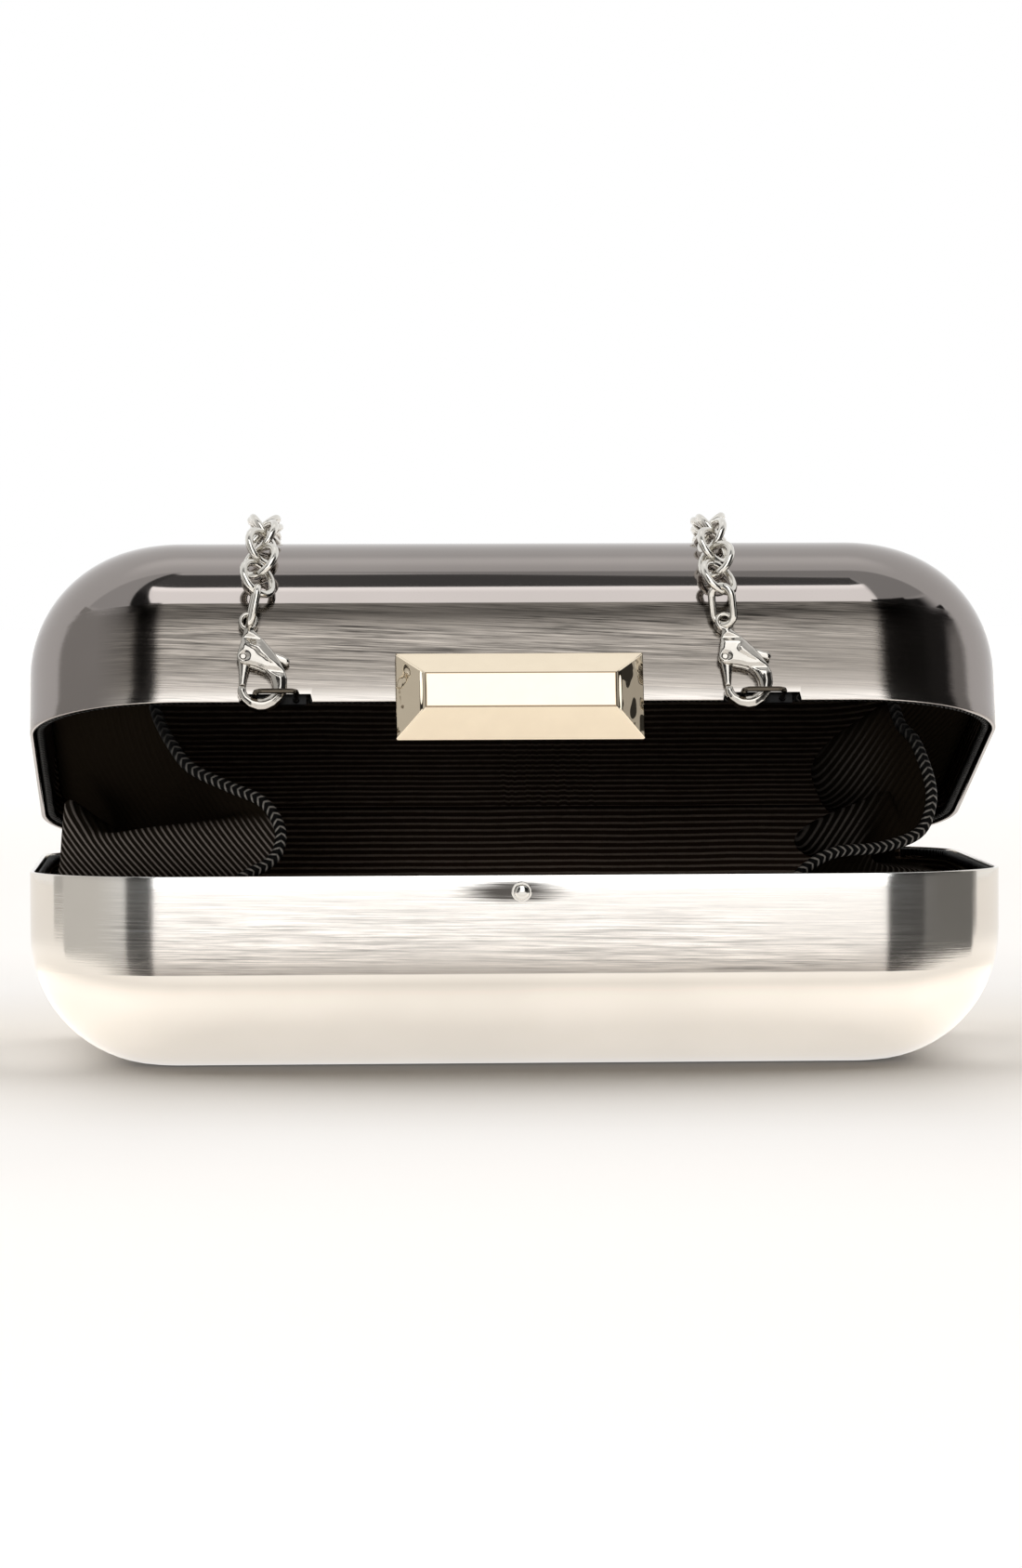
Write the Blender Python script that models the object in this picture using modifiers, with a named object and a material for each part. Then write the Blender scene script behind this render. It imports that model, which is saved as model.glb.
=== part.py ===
"""Box clutch: two pressed metal half shells on a rear hinge, with a rocking faceted bar clasp,
a catch stud, fabric linings and gussets, and a chain on two lobster clips.

The lid is modelled shut and then turned open with its pivot, as the bag lies when it is shown open.
X runs along the width, -Y is the front with the clasp, and Z is up from the resting face.
"""

import math

import bmesh
import bpy
from mathutils import Matrix, Vector

MM = 0.001

# Case
CASE_WIDTH = 178 * MM
CASE_DEPTH = 95 * MM
LOWER_HEIGHT = 35.5 * MM
UPPER_HEIGHT = 35 * MM
CORNER_X = 28 * MM
CORNER_Y = 20.5 * MM
END_EDGE = 24 * MM
FRONT_EDGE = 17.7 * MM
WALL = 0.8 * MM
RIM_GAP = 0.4 * MM
REST_OPENING = math.radians(18.5)

# Clearances
GAP = 0.3 * MM
RUNNING_FIT = 0.06 * MM
CUT_OVERRUN = 5 * MM

# Lining, boards and rim braid
LINING_GAP = 0.9 * MM
LINING = 0.7 * MM
BOARD = 0.8 * MM
BOARD_INSET = 3 * MM
BRAID_RADIUS = 0.75 * MM
BRAID_BELOW_RIM = 0.25 * MM

# Hinge
HINGE_OUT = 2 * MM
HINGE_WIDTH = 60 * MM
KNUCKLE_RADIUS = 1.6 * MM
KNUCKLES = 5
LEAF = 0.7 * MM
LEAF_HEIGHT = 9 * MM
WEB_INSET = 0.08 * MM
HINGE_PIN_RADIUS = 0.7 * MM
HINGE_PIN_OVERHANG = 0.6 * MM

# Rivets
RIVET_RADIUS = 0.8 * MM
RIVET_HEAD_RADIUS = 1.5 * MM
RIVET_HEAD = 0.5 * MM
RIVET_TAIL = 0.4 * MM
RIVET_SEAT = 0.15 * MM
RIVET_TAIL_SHARE = 0.8
HINGE_RIVET_SPACING = 20 * MM
HINGE_RIVET_DROP = 6 * MM

# Clasp bar and its bracket
BAR_WIDTH = 44.8 * MM
BAR_HEIGHT = 16.4 * MM
BAR_FLAT_WIDTH = 34.2 * MM
BAR_FLAT_HEIGHT = 6.3 * MM
BAR_SKIRT = 1 * MM
BAR_THICKNESS = 5.3 * MM
BAR_STANDOFF = 0.6 * MM
BAR_ABOVE_RIM = 0.4 * MM
BAR_POCKET_WIDTH = 36 * MM
BAR_POCKET_HEIGHT = 10.6 * MM
BAR_POCKET = 3 * MM
BAR_SWING = math.radians(10)
CLASP_PIN_RADIUS = 0.6 * MM
CLASP_PIN_OUT = 2.4 * MM
CLASP_PIN_ABOVE_BAR_CENTRE = 3.6 * MM
CLASP_PIN_INSERT = 0.9 * MM
BRACKET_WIDTH = 22 * MM
BRACKET_BELOW_PIN = 2.6 * MM
BRACKET_ABOVE_PIN = 1.1 * MM
BRACKET = 0.7 * MM
EAR = 1.2 * MM
EAR_RADIUS = 1.1 * MM
EAR_SPACING = 9 * MM
BRACKET_RIVET_SPACING = 17 * MM

# Catch stud and spring
STUD_BELOW_RIM = 3 * MM
STUD_FLANGE_RADIUS = 1.85 * MM
STUD_FLANGE = 0.4 * MM
STUD_NECK_RADIUS = 0.8 * MM
STUD_NECK = 0.75 * MM
STUD_HEAD_RADIUS = 1.6 * MM
STUD_HEAD = 1 * MM
STUD_SEAT = 0.15 * MM
STUD_WASHER_RADIUS = 1.4 * MM
STUD_WASHER = 0.3 * MM
STUD_TAIL_RADIUS = 1.1 * MM
STUD_TAIL = 0.2 * MM
CATCH = 0.4 * MM
CATCH_WIDTH = 15 * MM
CATCH_HEIGHT = 5 * MM
CATCH_SLOT = 2.1 * MM
CATCH_POST_RADIUS = 1.2 * MM
CATCH_STUB_RADIUS = 0.6 * MM
CATCH_POST_SPACING = 11 * MM

# Torsion springs
SPRING_WIRE_RADIUS = 0.2 * MM
SPRING_TURNS = 4
SPRING_PITCH = 0.7 * MM
SPRING_ARM = 2.2 * MM

# Bails and their brackets
BAIL_PLACE_SHARE = 0.56
BAIL_WIDTH = 7.4 * MM
BAIL_WIRE_RADIUS = 0.5 * MM
BAIL_OUT = 4.6 * MM
BAIL_BEND = 1.2 * MM
BAIL_ABOVE_RIM = 0.65 * MM
BAIL_BRACKET_WIDTH = 11 * MM
BAIL_BRACKET_HEIGHT = 4.6 * MM
BAIL_BRACKET = 1 * MM
BAIL_BRACKET_EDGE = 0.25 * MM
NOTCH_WIDTH = 13 * MM
NOTCH_HEIGHT = 1.5 * MM

# Lobster clips, drawn from the centre of the eye
CLIP_LENGTH = 16.3 * MM
CLIP_WIDTH = 8.5 * MM
CLIP_THICKNESS = 2.4 * MM
CLIP_EYE_RADIUS = 1.85 * MM
CLIP_EYE_HOLE = 0.95 * MM
CLIP_LEVER = 1 * MM
CLIP_LEVER_PLAY = 0.15 * MM
CLIP_RIVET_RADIUS = 0.45 * MM
CLIP_BOSS_RADIUS = 1 * MM
LEVER_SWING = math.radians(20)
CLIP_SWING = math.radians(20)
LEFT_CLIP_LEAN = math.radians(7.7)

# Soft parts
GUSSET = 0.8 * MM
GUSSET_INSET = 3.9 * MM
GUSSET_BELOW_RIM = 4.5 * MM
GUSSET_BULGE = 12 * MM
GUSSET_REACH_LOWER = 39 * MM
GUSSET_REACH_UPPER = 23 * MM
GUSSET_CORD_RADIUS = 0.9 * MM
GUSSET_FOLD_SHARE = 0.55
GUSSET_BENDS = 6
HINGE_FLAP_WIDTH = 118 * MM
HINGE_FLAP_BULGE = 2.6 * MM

# Chain, as a plain tube of its outer size
CHAIN_RADIUS = 3.7 * MM
CHAIN_STEP = 7.5 * MM
COIL_RADIUS = 42 * MM
COIL_CENTRE_Y = 105 * MM
COIL_TURN_SPACE = 7.6 * MM
COIL_LAYERS = 3

# Places worked out from the sizes
RIM_Z = LOWER_HEIGHT
LID_RIM_Z = RIM_Z + RIM_GAP
LID_TOP_Z = LID_RIM_Z + UPPER_HEIGHT
FRONT_Y = -CASE_DEPTH / 2
HINGE_Y = CASE_DEPTH / 2 + HINGE_OUT
HINGE_Z = RIM_Z + RIM_GAP / 2
LINING_INSET = WALL + LINING_GAP
BAR_CENTRE_Z = LID_RIM_Z + BAR_ABOVE_RIM
CLASP_PIN_Z = BAR_CENTRE_Z + CLASP_PIN_ABOVE_BAR_CENTRE
CLASP_PIN_Y = FRONT_Y - CLASP_PIN_OUT
BAR_BACK_Y = FRONT_Y - BAR_STANDOFF
STUD_Z = RIM_Z - STUD_BELOW_RIM
BAIL_X = BAR_WIDTH / 2 + BAIL_PLACE_SHARE * (CASE_WIDTH / 2 - CORNER_X - BAR_WIDTH / 2)
BAIL_Z = LID_RIM_Z + BAIL_ABOVE_RIM
CLIP_BACK_Y = FRONT_Y - GAP
CLIP_MID_Y = CLIP_BACK_Y - CLIP_THICKNESS / 2

# The clip's outlines, as shares of its width and of its length from the eye's centre down
CLIP_OUTER_SHARES = [
    (-0.06, -0.10), (-0.12, -0.30), (-0.15, -0.42), (-0.06, -0.485),
    (0.10, -0.495), (0.30, -0.51), (0.50, -0.54), (0.62, -0.60), (0.69, -0.68),
    (0.715, -0.76), (0.66, -0.82), (0.53, -0.865), (0.34, -0.877),
    (0.22, -0.85), (0.155, -0.80), (0.13, -0.752), (-0.03, -0.752),
    (-0.03, -0.82), (0.06, -0.90), (0.25, -0.975), (0.46, -1.0),
    (0.62, -0.985), (0.79, -0.925), (0.93, -0.83), (1.0, -0.71),
    (0.98, -0.60), (0.90, -0.50), (0.78, -0.41), (0.62, -0.31),
    (0.40, -0.20), (0.16, -0.10),
]
LEVER_SHARES = [
    (-0.115, -0.40), (-0.09, -0.36), (0.00, -0.345), (0.30, -0.33), (0.64, -0.30), (0.95, -0.35),
    (0.99, -0.395), (0.92, -0.44), (0.62, -0.407), (0.30, -0.43), (0.17, -0.47),
    (0.13, -0.60), (0.11, -0.735), (-0.02, -0.735), (-0.05, -0.60), (-0.10, -0.47),
]
LEVER_SPRING_SHARES = [
    (0.05, -0.215), (0.30, -0.215), (0.33, -0.24), (0.12, -0.27), (0.12, -0.285), (0.30, -0.305),
]
LEVER_SLOT_SHARES = (-0.34, 1.3, -0.185, -0.475)
CLIP_PIVOT_SHARES = (-0.01, -0.41)

# The chain's route to the coil, in metres, from the eye of each clip over the open lid to the floor
LEFT_CHAIN_OVER = [
    (-0.0483, -0.0411, 0.0838), (-0.0478, -0.0409, 0.0848), (-0.0468, -0.0367, 0.0919),
    (-0.0462, -0.0300, 0.0970), (-0.0460, -0.0217, 0.0993), (-0.0458, -0.0132, 0.0982),
    (-0.0454, 0.0056, 0.0919), (-0.0448, 0.0245, 0.0856), (-0.0440, 0.0433, 0.0793),
    (-0.0436, 0.0507, 0.0751), (-0.0432, 0.0559, 0.0683), (-0.0430, 0.0582, 0.0601),
    (-0.0430, 0.0583, 0.0586),
]
LEFT_CHAIN_DROP = [
    (-0.0430, 0.0583, 0.0578), (-0.0429, 0.0583, 0.0450), (-0.0427, 0.0583, 0.0300),
    (-0.0425, 0.0583, 0.0160), (-0.0423, 0.0604, 0.0084), (-0.0421, 0.0660, 0.0045),
    (-0.0420, 0.0730, 0.0041), (-0.0420, 0.0788, 0.0041),
]
RIGHT_CHAIN_OVER = [
    (0.0370, -0.0411, 0.0838), (0.0368, -0.0409, 0.0848), (0.0362, -0.0367, 0.0919),
    (0.0360, -0.0300, 0.0970), (0.0362, -0.0217, 0.0993), (0.0366, -0.0132, 0.0982),
    (0.0380, 0.0056, 0.0919), (0.0396, 0.0245, 0.0856), (0.0410, 0.0433, 0.0793),
    (0.0415, 0.0507, 0.0751), (0.0418, 0.0559, 0.0683), (0.0420, 0.0582, 0.0601),
    (0.0420, 0.0583, 0.0586),
]
RIGHT_CHAIN_DROP = [
    (0.0420, 0.0583, 0.0578), (0.0420, 0.0583, 0.0450), (0.0420, 0.0583, 0.0320),
    (0.0420, 0.0584, 0.0200), (0.0420, 0.0608, 0.0128), (0.0420, 0.0670, 0.0108),
    (0.0420, 0.0735, 0.0125), (0.0420, 0.0788, 0.0140),
]

PARTS = "box_clutch"
CUTTERS = "box_clutch_cutters"


def clear_scene():
    for thing in list(bpy.data.objects):
        bpy.data.objects.remove(thing, do_unlink=True)


def collection(name):
    found = bpy.data.collections.get(name)
    if found is None:
        found = bpy.data.collections.new(name)
        bpy.context.scene.collection.children.link(found)
    return found


def material(name, colour, roughness, metallic):
    made = bpy.data.materials.new(name)
    made.use_nodes = True
    shader = made.node_tree.nodes["Principled BSDF"]
    shader.inputs["Base Color"].default_value = (*colour, 1)
    shader.inputs["Roughness"].default_value = roughness
    shader.inputs["Metallic"].default_value = metallic
    return made


def add_object(name, mesh, finish=None):
    thing = bpy.data.objects.new(name, mesh)
    collection(PARTS).objects.link(thing)
    if finish is not None:
        mesh.materials.clear()
        mesh.materials.append(finish)
    return thing


def from_bmesh(name, shape, finish=None):
    mesh = bpy.data.meshes.new(name)
    shape.to_mesh(mesh)
    shape.free()
    return add_object(name, mesh, finish)


def as_cutter(thing):
    for home in thing.users_collection:
        home.objects.unlink(thing)
    collection(CUTTERS).objects.link(thing)
    thing.hide_render = True
    thing.display_type = "WIRE"
    return thing


def boolean(thing, other, operation):
    as_cutter(other)
    step = thing.modifiers.new(operation.lower(), "BOOLEAN")
    step.operation = operation
    step.object = other
    step.solver = "EXACT"
    return thing


def cut(thing, *others):
    for other in others:
        boolean(thing, other, "DIFFERENCE")
    return thing


def add(thing, *others):
    for other in others:
        boolean(thing, other, "UNION")
    return thing


def smooth(thing, angle=math.radians(35)):
    thing.data.shade_smooth()
    thing.data.set_sharp_from_angle(angle=angle)
    return thing


def baked(thing, finish=None):
    """The object with its modifiers applied, or a curve as a mesh with its caps welded."""
    graph = bpy.context.evaluated_depsgraph_get()
    mesh = bpy.data.meshes.new_from_object(thing.evaluated_get(graph))
    shape = bmesh.new()
    shape.from_mesh(mesh)
    bmesh.ops.remove_doubles(shape, verts=shape.verts, dist=RUNNING_FIT / 10)
    shape.to_mesh(mesh)
    shape.free()
    name = thing.name
    place = thing.matrix_world.copy()
    bpy.data.objects.remove(thing, do_unlink=True)
    made = add_object(name, mesh, finish)
    made.name = name
    made.matrix_world = place
    return made


def box(name, low, high, finish=None):
    shape = bmesh.new()
    bmesh.ops.create_cube(shape, size=1)
    size = Vector(high) - Vector(low)
    middle = (Vector(high) + Vector(low)) / 2
    bmesh.ops.scale(shape, vec=size, verts=shape.verts)
    bmesh.ops.translate(shape, vec=middle, verts=shape.verts)
    return from_bmesh(name, shape, finish)


def rod(name, start, end, radius, finish=None, sides=16):
    """A cylinder between two points."""
    start, end = Vector(start), Vector(end)
    shape = bmesh.new()
    bmesh.ops.create_cone(
        shape, cap_ends=True, segments=sides, radius1=radius, radius2=radius,
        depth=(end - start).length,
    )
    turn = (end - start).to_track_quat("Z", "Y").to_matrix().to_4x4()
    bmesh.ops.transform(shape, matrix=Matrix.Translation((start + end) / 2) @ turn, verts=shape.verts)
    return from_bmesh(name, shape, finish)


def turned(name, profile, foot, direction, finish=None, sides=16):
    """A profile of (radius, height) points, top first, turned about a line from foot along direction."""
    mesh = bpy.data.meshes.new(name)
    points = [(radius, 0, height) for radius, height in profile]
    mesh.from_pydata(points, [(k, k + 1) for k in range(len(points) - 1)], [])
    thing = add_object(name, mesh)
    screw = thing.modifiers.new("turn", "SCREW")
    screw.axis = "Z"
    screw.steps = sides
    screw.render_steps = sides
    screw.use_merge_vertices = True
    screw.merge_threshold = RUNNING_FIT / 10
    bpy.context.view_layer.update()
    made = baked(thing, finish)
    turn = Vector(direction).to_track_quat("Z", "Y").to_matrix().to_4x4()
    made.data.transform(Matrix.Translation(foot) @ turn)
    return made


def flat(name, outline, thickness, finish=None, holes=(), cyclic=True):
    """A flat plate in the XZ plane, middle of its thickness at y = 0, from an outline of (x, z) points."""
    curve = bpy.data.curves.new(name, "CURVE")
    curve.dimensions = "2D"
    curve.fill_mode = "BOTH"
    curve.extrude = thickness / 2
    for points in (outline, *holes):
        spline = curve.splines.new("POLY")
        spline.points.add(len(points) - 1)
        for point, (x, z) in zip(spline.points, points):
            point.co = (x, z, 0, 1)
        spline.use_cyclic_u = cyclic
    thing = bpy.data.objects.new(name, curve)
    collection(PARTS).objects.link(thing)
    bpy.context.view_layer.update()
    made = baked(thing, finish)
    made.data.transform(Matrix.Rotation(math.pi / 2, 4, "X"))
    return made


def tube(name, points, radius, finish=None, resolution=2, cyclic=False):
    """A round bar along the points."""
    curve = bpy.data.curves.new(name, "CURVE")
    curve.dimensions = "3D"
    curve.bevel_depth = radius
    curve.bevel_resolution = resolution
    curve.use_fill_caps = True
    spline = curve.splines.new("POLY")
    spline.points.add(len(points) - 1)
    for point, place in zip(spline.points, points):
        point.co = (*place, 1)
    spline.use_cyclic_u = cyclic
    thing = bpy.data.objects.new(name, curve)
    collection(PARTS).objects.link(thing)
    bpy.context.view_layer.update()
    return smooth(baked(thing, finish))


def circle(centre, radius, sides=16, start=0.0):
    x, z = centre
    turns = [start + 2 * math.pi * k / sides for k in range(sides)]
    return [(x + radius * math.cos(turn), z + radius * math.sin(turn)) for turn in turns]


def smooth_route(points, step):
    """Points about a step apart on a smooth curve through the route's own points."""
    route = [Vector(point) for point in points]
    ends = [2 * route[0] - route[1], *route, 2 * route[-1] - route[-2]]
    fine = [route[0]]
    steps = 12
    for k in range(1, len(ends) - 2):
        a, b, c, d = ends[k - 1 : k + 3]
        for n in range(1, steps + 1):
            t = n / steps
            fine.append(
                0.5 * ((2 * b) + (c - a) * t + (2 * a - 5 * b + 4 * c - d) * t**2
                       + (3 * b - a - 3 * c + d) * t**3)
            )
    length = sum((b - a).length for a, b in zip(fine, fine[1:]))
    count = max(2, math.ceil(length / step))
    spaced, walked, wanted = [fine[0]], 0.0, length / count
    for a, b in zip(fine, fine[1:]):
        stretch = (b - a).length
        while walked + stretch >= wanted * len(spaced) and len(spaced) < count:
            spaced.append(a.lerp(b, (wanted * len(spaced) - walked) / stretch))
        walked += stretch
    spaced.append(fine[-1])
    return spaced


def plan_ring(half_x, half_y, corner_x, corner_y, segments):
    """A rounded rectangle with elliptical corners, anticlockwise from the +X side."""
    quarter = [math.pi / 2 * k / segments for k in range(segments + 1)]
    ring = []
    for number, (sx, sy) in enumerate([(1, 1), (-1, 1), (-1, -1), (1, -1)]):
        for turn in quarter if number % 2 == 0 else reversed(quarter):
            x = half_x - corner_x + corner_x * math.cos(turn)
            y = half_y - corner_y + corner_y * math.sin(turn)
            ring.append((sx * x, sy * y))
    return ring


def bowl(name, inset, floor_inset, height, thickness, floor_z, upward, finish, segments, levels):
    """Half of the case at an inset from its outer face: an open surface given a thickness inwards.

    Its end edges are rounder than its front and back edges, so each level is a loft section of its own.
    """
    end_edge, front_edge = END_EDGE - inset, FRONT_EDGE - inset
    corner_x, corner_y = CORNER_X - inset, CORNER_Y - inset
    half_x, half_y = CASE_WIDTH / 2 - inset, CASE_DEPTH / 2 - inset
    angles = [math.pi / 2 * k / levels for k in range(levels + 1)]
    depths = sorted({height, front_edge, *(end_edge * (1 - math.sin(angle)) for angle in angles)})
    shape = bmesh.new()
    rings = []
    for depth in reversed(depths):
        in_x = end_edge - math.sqrt(max(end_edge**2 - (end_edge - min(depth, end_edge)) ** 2, 0))
        in_y = front_edge - math.sqrt(max(front_edge**2 - (front_edge - min(depth, front_edge)) ** 2, 0))
        plan = plan_ring(half_x - in_x, half_y - in_y, corner_x - in_x, corner_y - in_y, segments)
        z = floor_z + upward * (floor_inset + depth)
        rings.append([shape.verts.new((x, y, z)) for x, y in plan])
    for above, below in zip(rings, rings[1:]):
        for k in range(len(above)):
            n = (k + 1) % len(above)
            face = [above[k], below[k], below[n], above[n]]
            shape.faces.new(face if upward > 0 else face[::-1])
    shape.faces.new(rings[-1][::-1] if upward > 0 else rings[-1])
    thing = from_bmesh(name, shape, finish)
    smooth(thing, math.radians(30))
    skin = thing.modifiers.new("thickness", "SOLIDIFY")
    skin.thickness = thickness
    skin.offset = -1
    skin.use_even_offset = True
    return thing


def sheet(name, rows, thickness, finish):
    """A soft sheet through rows of points."""
    shape = bmesh.new()
    grid = [[shape.verts.new(point) for point in row] for row in rows]
    for row, following in zip(grid, grid[1:]):
        for k in range(len(row) - 1):
            shape.faces.new([row[k], row[k + 1], following[k + 1], following[k]])
    thing = from_bmesh(name, shape, finish)
    smooth(thing)
    skin = thing.modifiers.new("thickness", "SOLIDIFY")
    skin.thickness = thickness
    skin.offset = 0
    return thing


def empty(name, place, parent=None, turn=(0, 0, 0)):
    """A pivot at a place given with the lid shut."""
    thing = bpy.data.objects.new(name, None)
    bpy.context.scene.collection.objects.link(thing)
    thing["shut_place"] = tuple(place)
    thing.parent = parent
    before = Vector(parent["shut_place"]) if parent else Vector()
    thing.location = Vector(place) - before
    thing.rotation_euler = turn
    return thing


def hang(pivot, *things):
    """Puts pieces that are drawn with the lid shut on a pivot."""
    for thing in things:
        thing.parent = pivot
        thing.location = thing.location - Vector(pivot["shut_place"])


def hang_as_open(pivot, *things):
    """Puts pieces that are drawn with the lid open on a pivot."""
    bpy.context.view_layer.update()
    for thing in things:
        thing.parent = pivot
        thing.matrix_parent_inverse = pivot.matrix_world.inverted()


def opened(point):
    """Where a point of the shut lid is with the lid open at rest."""
    turn = Matrix.Rotation(-REST_OPENING, 4, "X")
    hinge = Vector((0, HINGE_Y, HINGE_Z))
    return turn @ (Vector(point) - hinge) + hinge


def rivet_profile(grip):
    """A rivet with its head on top, a shank through the grip and a small tail."""
    head_top = RIVET_HEAD + grip
    return [
        (0, head_top), (RIVET_HEAD_RADIUS * 0.6, head_top - RIVET_HEAD * 0.15),
        (RIVET_HEAD_RADIUS, head_top - RIVET_HEAD * 0.6), (RIVET_HEAD_RADIUS, grip),
        (RIVET_RADIUS, grip), (RIVET_RADIUS, 0), (RIVET_HEAD_RADIUS * RIVET_TAIL_SHARE, 0),
        (RIVET_HEAD_RADIUS * RIVET_TAIL_SHARE, -RIVET_TAIL), (0, -RIVET_TAIL),
    ]


def joined(name, things):
    """Separate cutters in one object."""
    shape = bmesh.new()
    for thing in things:
        shape.from_mesh(thing.data)
        bpy.data.objects.remove(thing, do_unlink=True)
    return from_bmesh(name, shape)


def rivet_row(name, places, direction, plate, finish):
    """Rivets through a plate that lies on the wall, and the cutters of their holes."""
    grip = WALL + GAP + plate + 2 * RIVET_SEAT
    rivets, drills = [], []
    for number, place in enumerate(places, 1):
        foot = Vector(place) - Vector(direction) * (WALL + RIVET_SEAT)
        rivets.append(smooth(turned(f"{name}_{number}", rivet_profile(grip), foot, direction, finish, 12)))
        start = foot - Vector(direction) * CUT_OVERRUN / 5
        end = foot + Vector(direction) * (grip + CUT_OVERRUN / 5)
        drills.append(rod(f"{name}_drill", start, end, RIVET_RADIUS + 2 * RUNNING_FIT, sides=12))
    return rivets, joined(f"{name}_drills", drills)


def hinge_rivet_places(side):
    y = CASE_DEPTH / 2
    z = HINGE_Z + side * HINGE_RIVET_DROP
    return [(x, y, z) for x in (-HINGE_RIVET_SPACING, 0, HINGE_RIVET_SPACING)]


def bracket_rivet_places():
    z = CLASP_PIN_Z - BRACKET_BELOW_PIN / 3
    return [(x, FRONT_Y, z) for x in (-BRACKET_RIVET_SPACING / 2, BRACKET_RIVET_SPACING / 2)]


def copy_of(thing, name):
    made = bpy.data.objects.new(name, thing.data.copy())
    collection(PARTS).objects.link(made)
    return made


def make_hinge(finish, pin_finish, rivet_finish):
    """Two leaves on the outside of the back wall, with interleaved knuckles round a pin."""
    pitch = HINGE_WIDTH / KNUCKLES
    wall_y = CASE_DEPTH / 2
    leaves, drills, rivets = [], [], []
    for name, side, first in (("lower", -1, 0), ("upper", 1, 1)):
        near = HINGE_Z + side * (KNUCKLE_RADIUS + GAP)
        far = HINGE_Z + side * LEAF_HEIGHT
        leaf = box(
            f"hinge_leaf_{name}",
            (-HINGE_WIDTH / 2, wall_y + GAP, min(near, far)),
            (HINGE_WIDTH / 2, wall_y + GAP + LEAF, max(near, far)),
            finish,
        )
        for number in range(first, KNUCKLES, 2):
            start = -HINGE_WIDTH / 2 + number * pitch + GAP / 2
            end = start + pitch - GAP
            root = near + side * KNUCKLE_RADIUS
            barrel = rod(f"knuckle_{name}_{number}", (start, HINGE_Y, HINGE_Z), (end, HINGE_Y, HINGE_Z),
                         KNUCKLE_RADIUS)
            web = box(
                f"web_{name}_{number}",
                (start + WEB_INSET, wall_y + GAP + WEB_INSET, min(HINGE_Z, root)),
                (end - WEB_INSET, wall_y + GAP + LEAF - WEB_INSET, max(HINGE_Z, root)),
            )
            add(leaf, web, barrel)
        bore = rod(f"hinge_bore_{name}", (-HINGE_WIDTH, HINGE_Y, HINGE_Z), (HINGE_WIDTH, HINGE_Y, HINGE_Z),
                   HINGE_PIN_RADIUS + RUNNING_FIT)
        cut(leaf, bore)
        row, holes = rivet_row(f"hinge_rivet_{name}", hinge_rivet_places(side), (0, 1, 0), LEAF,
                               rivet_finish)
        cut(leaf, copy_of(holes, f"leaf_holes_{name}"))
        leaves.append(leaf)
        rivets.append(row)
        drills.append(holes)
    reach = HINGE_WIDTH / 2 + HINGE_PIN_OVERHANG
    pin = smooth(rod("hinge_pin", (-reach, HINGE_Y, HINGE_Z), (reach, HINGE_Y, HINGE_Z), HINGE_PIN_RADIUS,
                     pin_finish))
    return leaves, pin, rivets, drills


def make_stud(finish, washer_finish):
    """The turned catch stud, riveted through the lower shell's front wall over a washer."""
    foot = (0, FRONT_Y + WALL, STUD_Z)
    flange = WALL + STUD_SEAT
    neck = flange + STUD_FLANGE + STUD_NECK
    top = neck + STUD_HEAD
    washer_end = -STUD_SEAT - STUD_WASHER - STUD_SEAT
    profile = [
        (0, top), (STUD_HEAD_RADIUS * 0.5, top - STUD_HEAD * 0.08),
        (STUD_HEAD_RADIUS * 0.85, top - STUD_HEAD * 0.35), (STUD_HEAD_RADIUS, top - STUD_HEAD * 0.7),
        (STUD_HEAD_RADIUS * 0.9, neck), (STUD_NECK_RADIUS, neck),
        (STUD_NECK_RADIUS, flange + STUD_FLANGE), (STUD_FLANGE_RADIUS, flange + STUD_FLANGE),
        (STUD_FLANGE_RADIUS, flange), (STUD_NECK_RADIUS, flange), (STUD_NECK_RADIUS, washer_end),
        (STUD_TAIL_RADIUS, washer_end), (STUD_TAIL_RADIUS, washer_end - STUD_TAIL),
        (0, washer_end - STUD_TAIL),
    ]
    stud = smooth(turned("catch_stud", profile, foot, (0, -1, 0), finish))
    hole = rod("stud_hole", (0, FRONT_Y - CUT_OVERRUN / 5, STUD_Z),
               (0, FRONT_Y + WALL + CUT_OVERRUN / 5, STUD_Z), STUD_NECK_RADIUS + 2 * RUNNING_FIT)
    washer_y = FRONT_Y + WALL + STUD_SEAT
    washer = rod("stud_washer", (0, washer_y + STUD_WASHER, STUD_Z), (0, washer_y, STUD_Z),
                 STUD_WASHER_RADIUS, washer_finish)
    cut(washer, rod("washer_hole", (0, washer_y - CUT_OVERRUN, STUD_Z), (0, washer_y + CUT_OVERRUN, STUD_Z),
                    STUD_NECK_RADIUS + 2 * RUNNING_FIT))
    return stud, washer, hole


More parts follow.
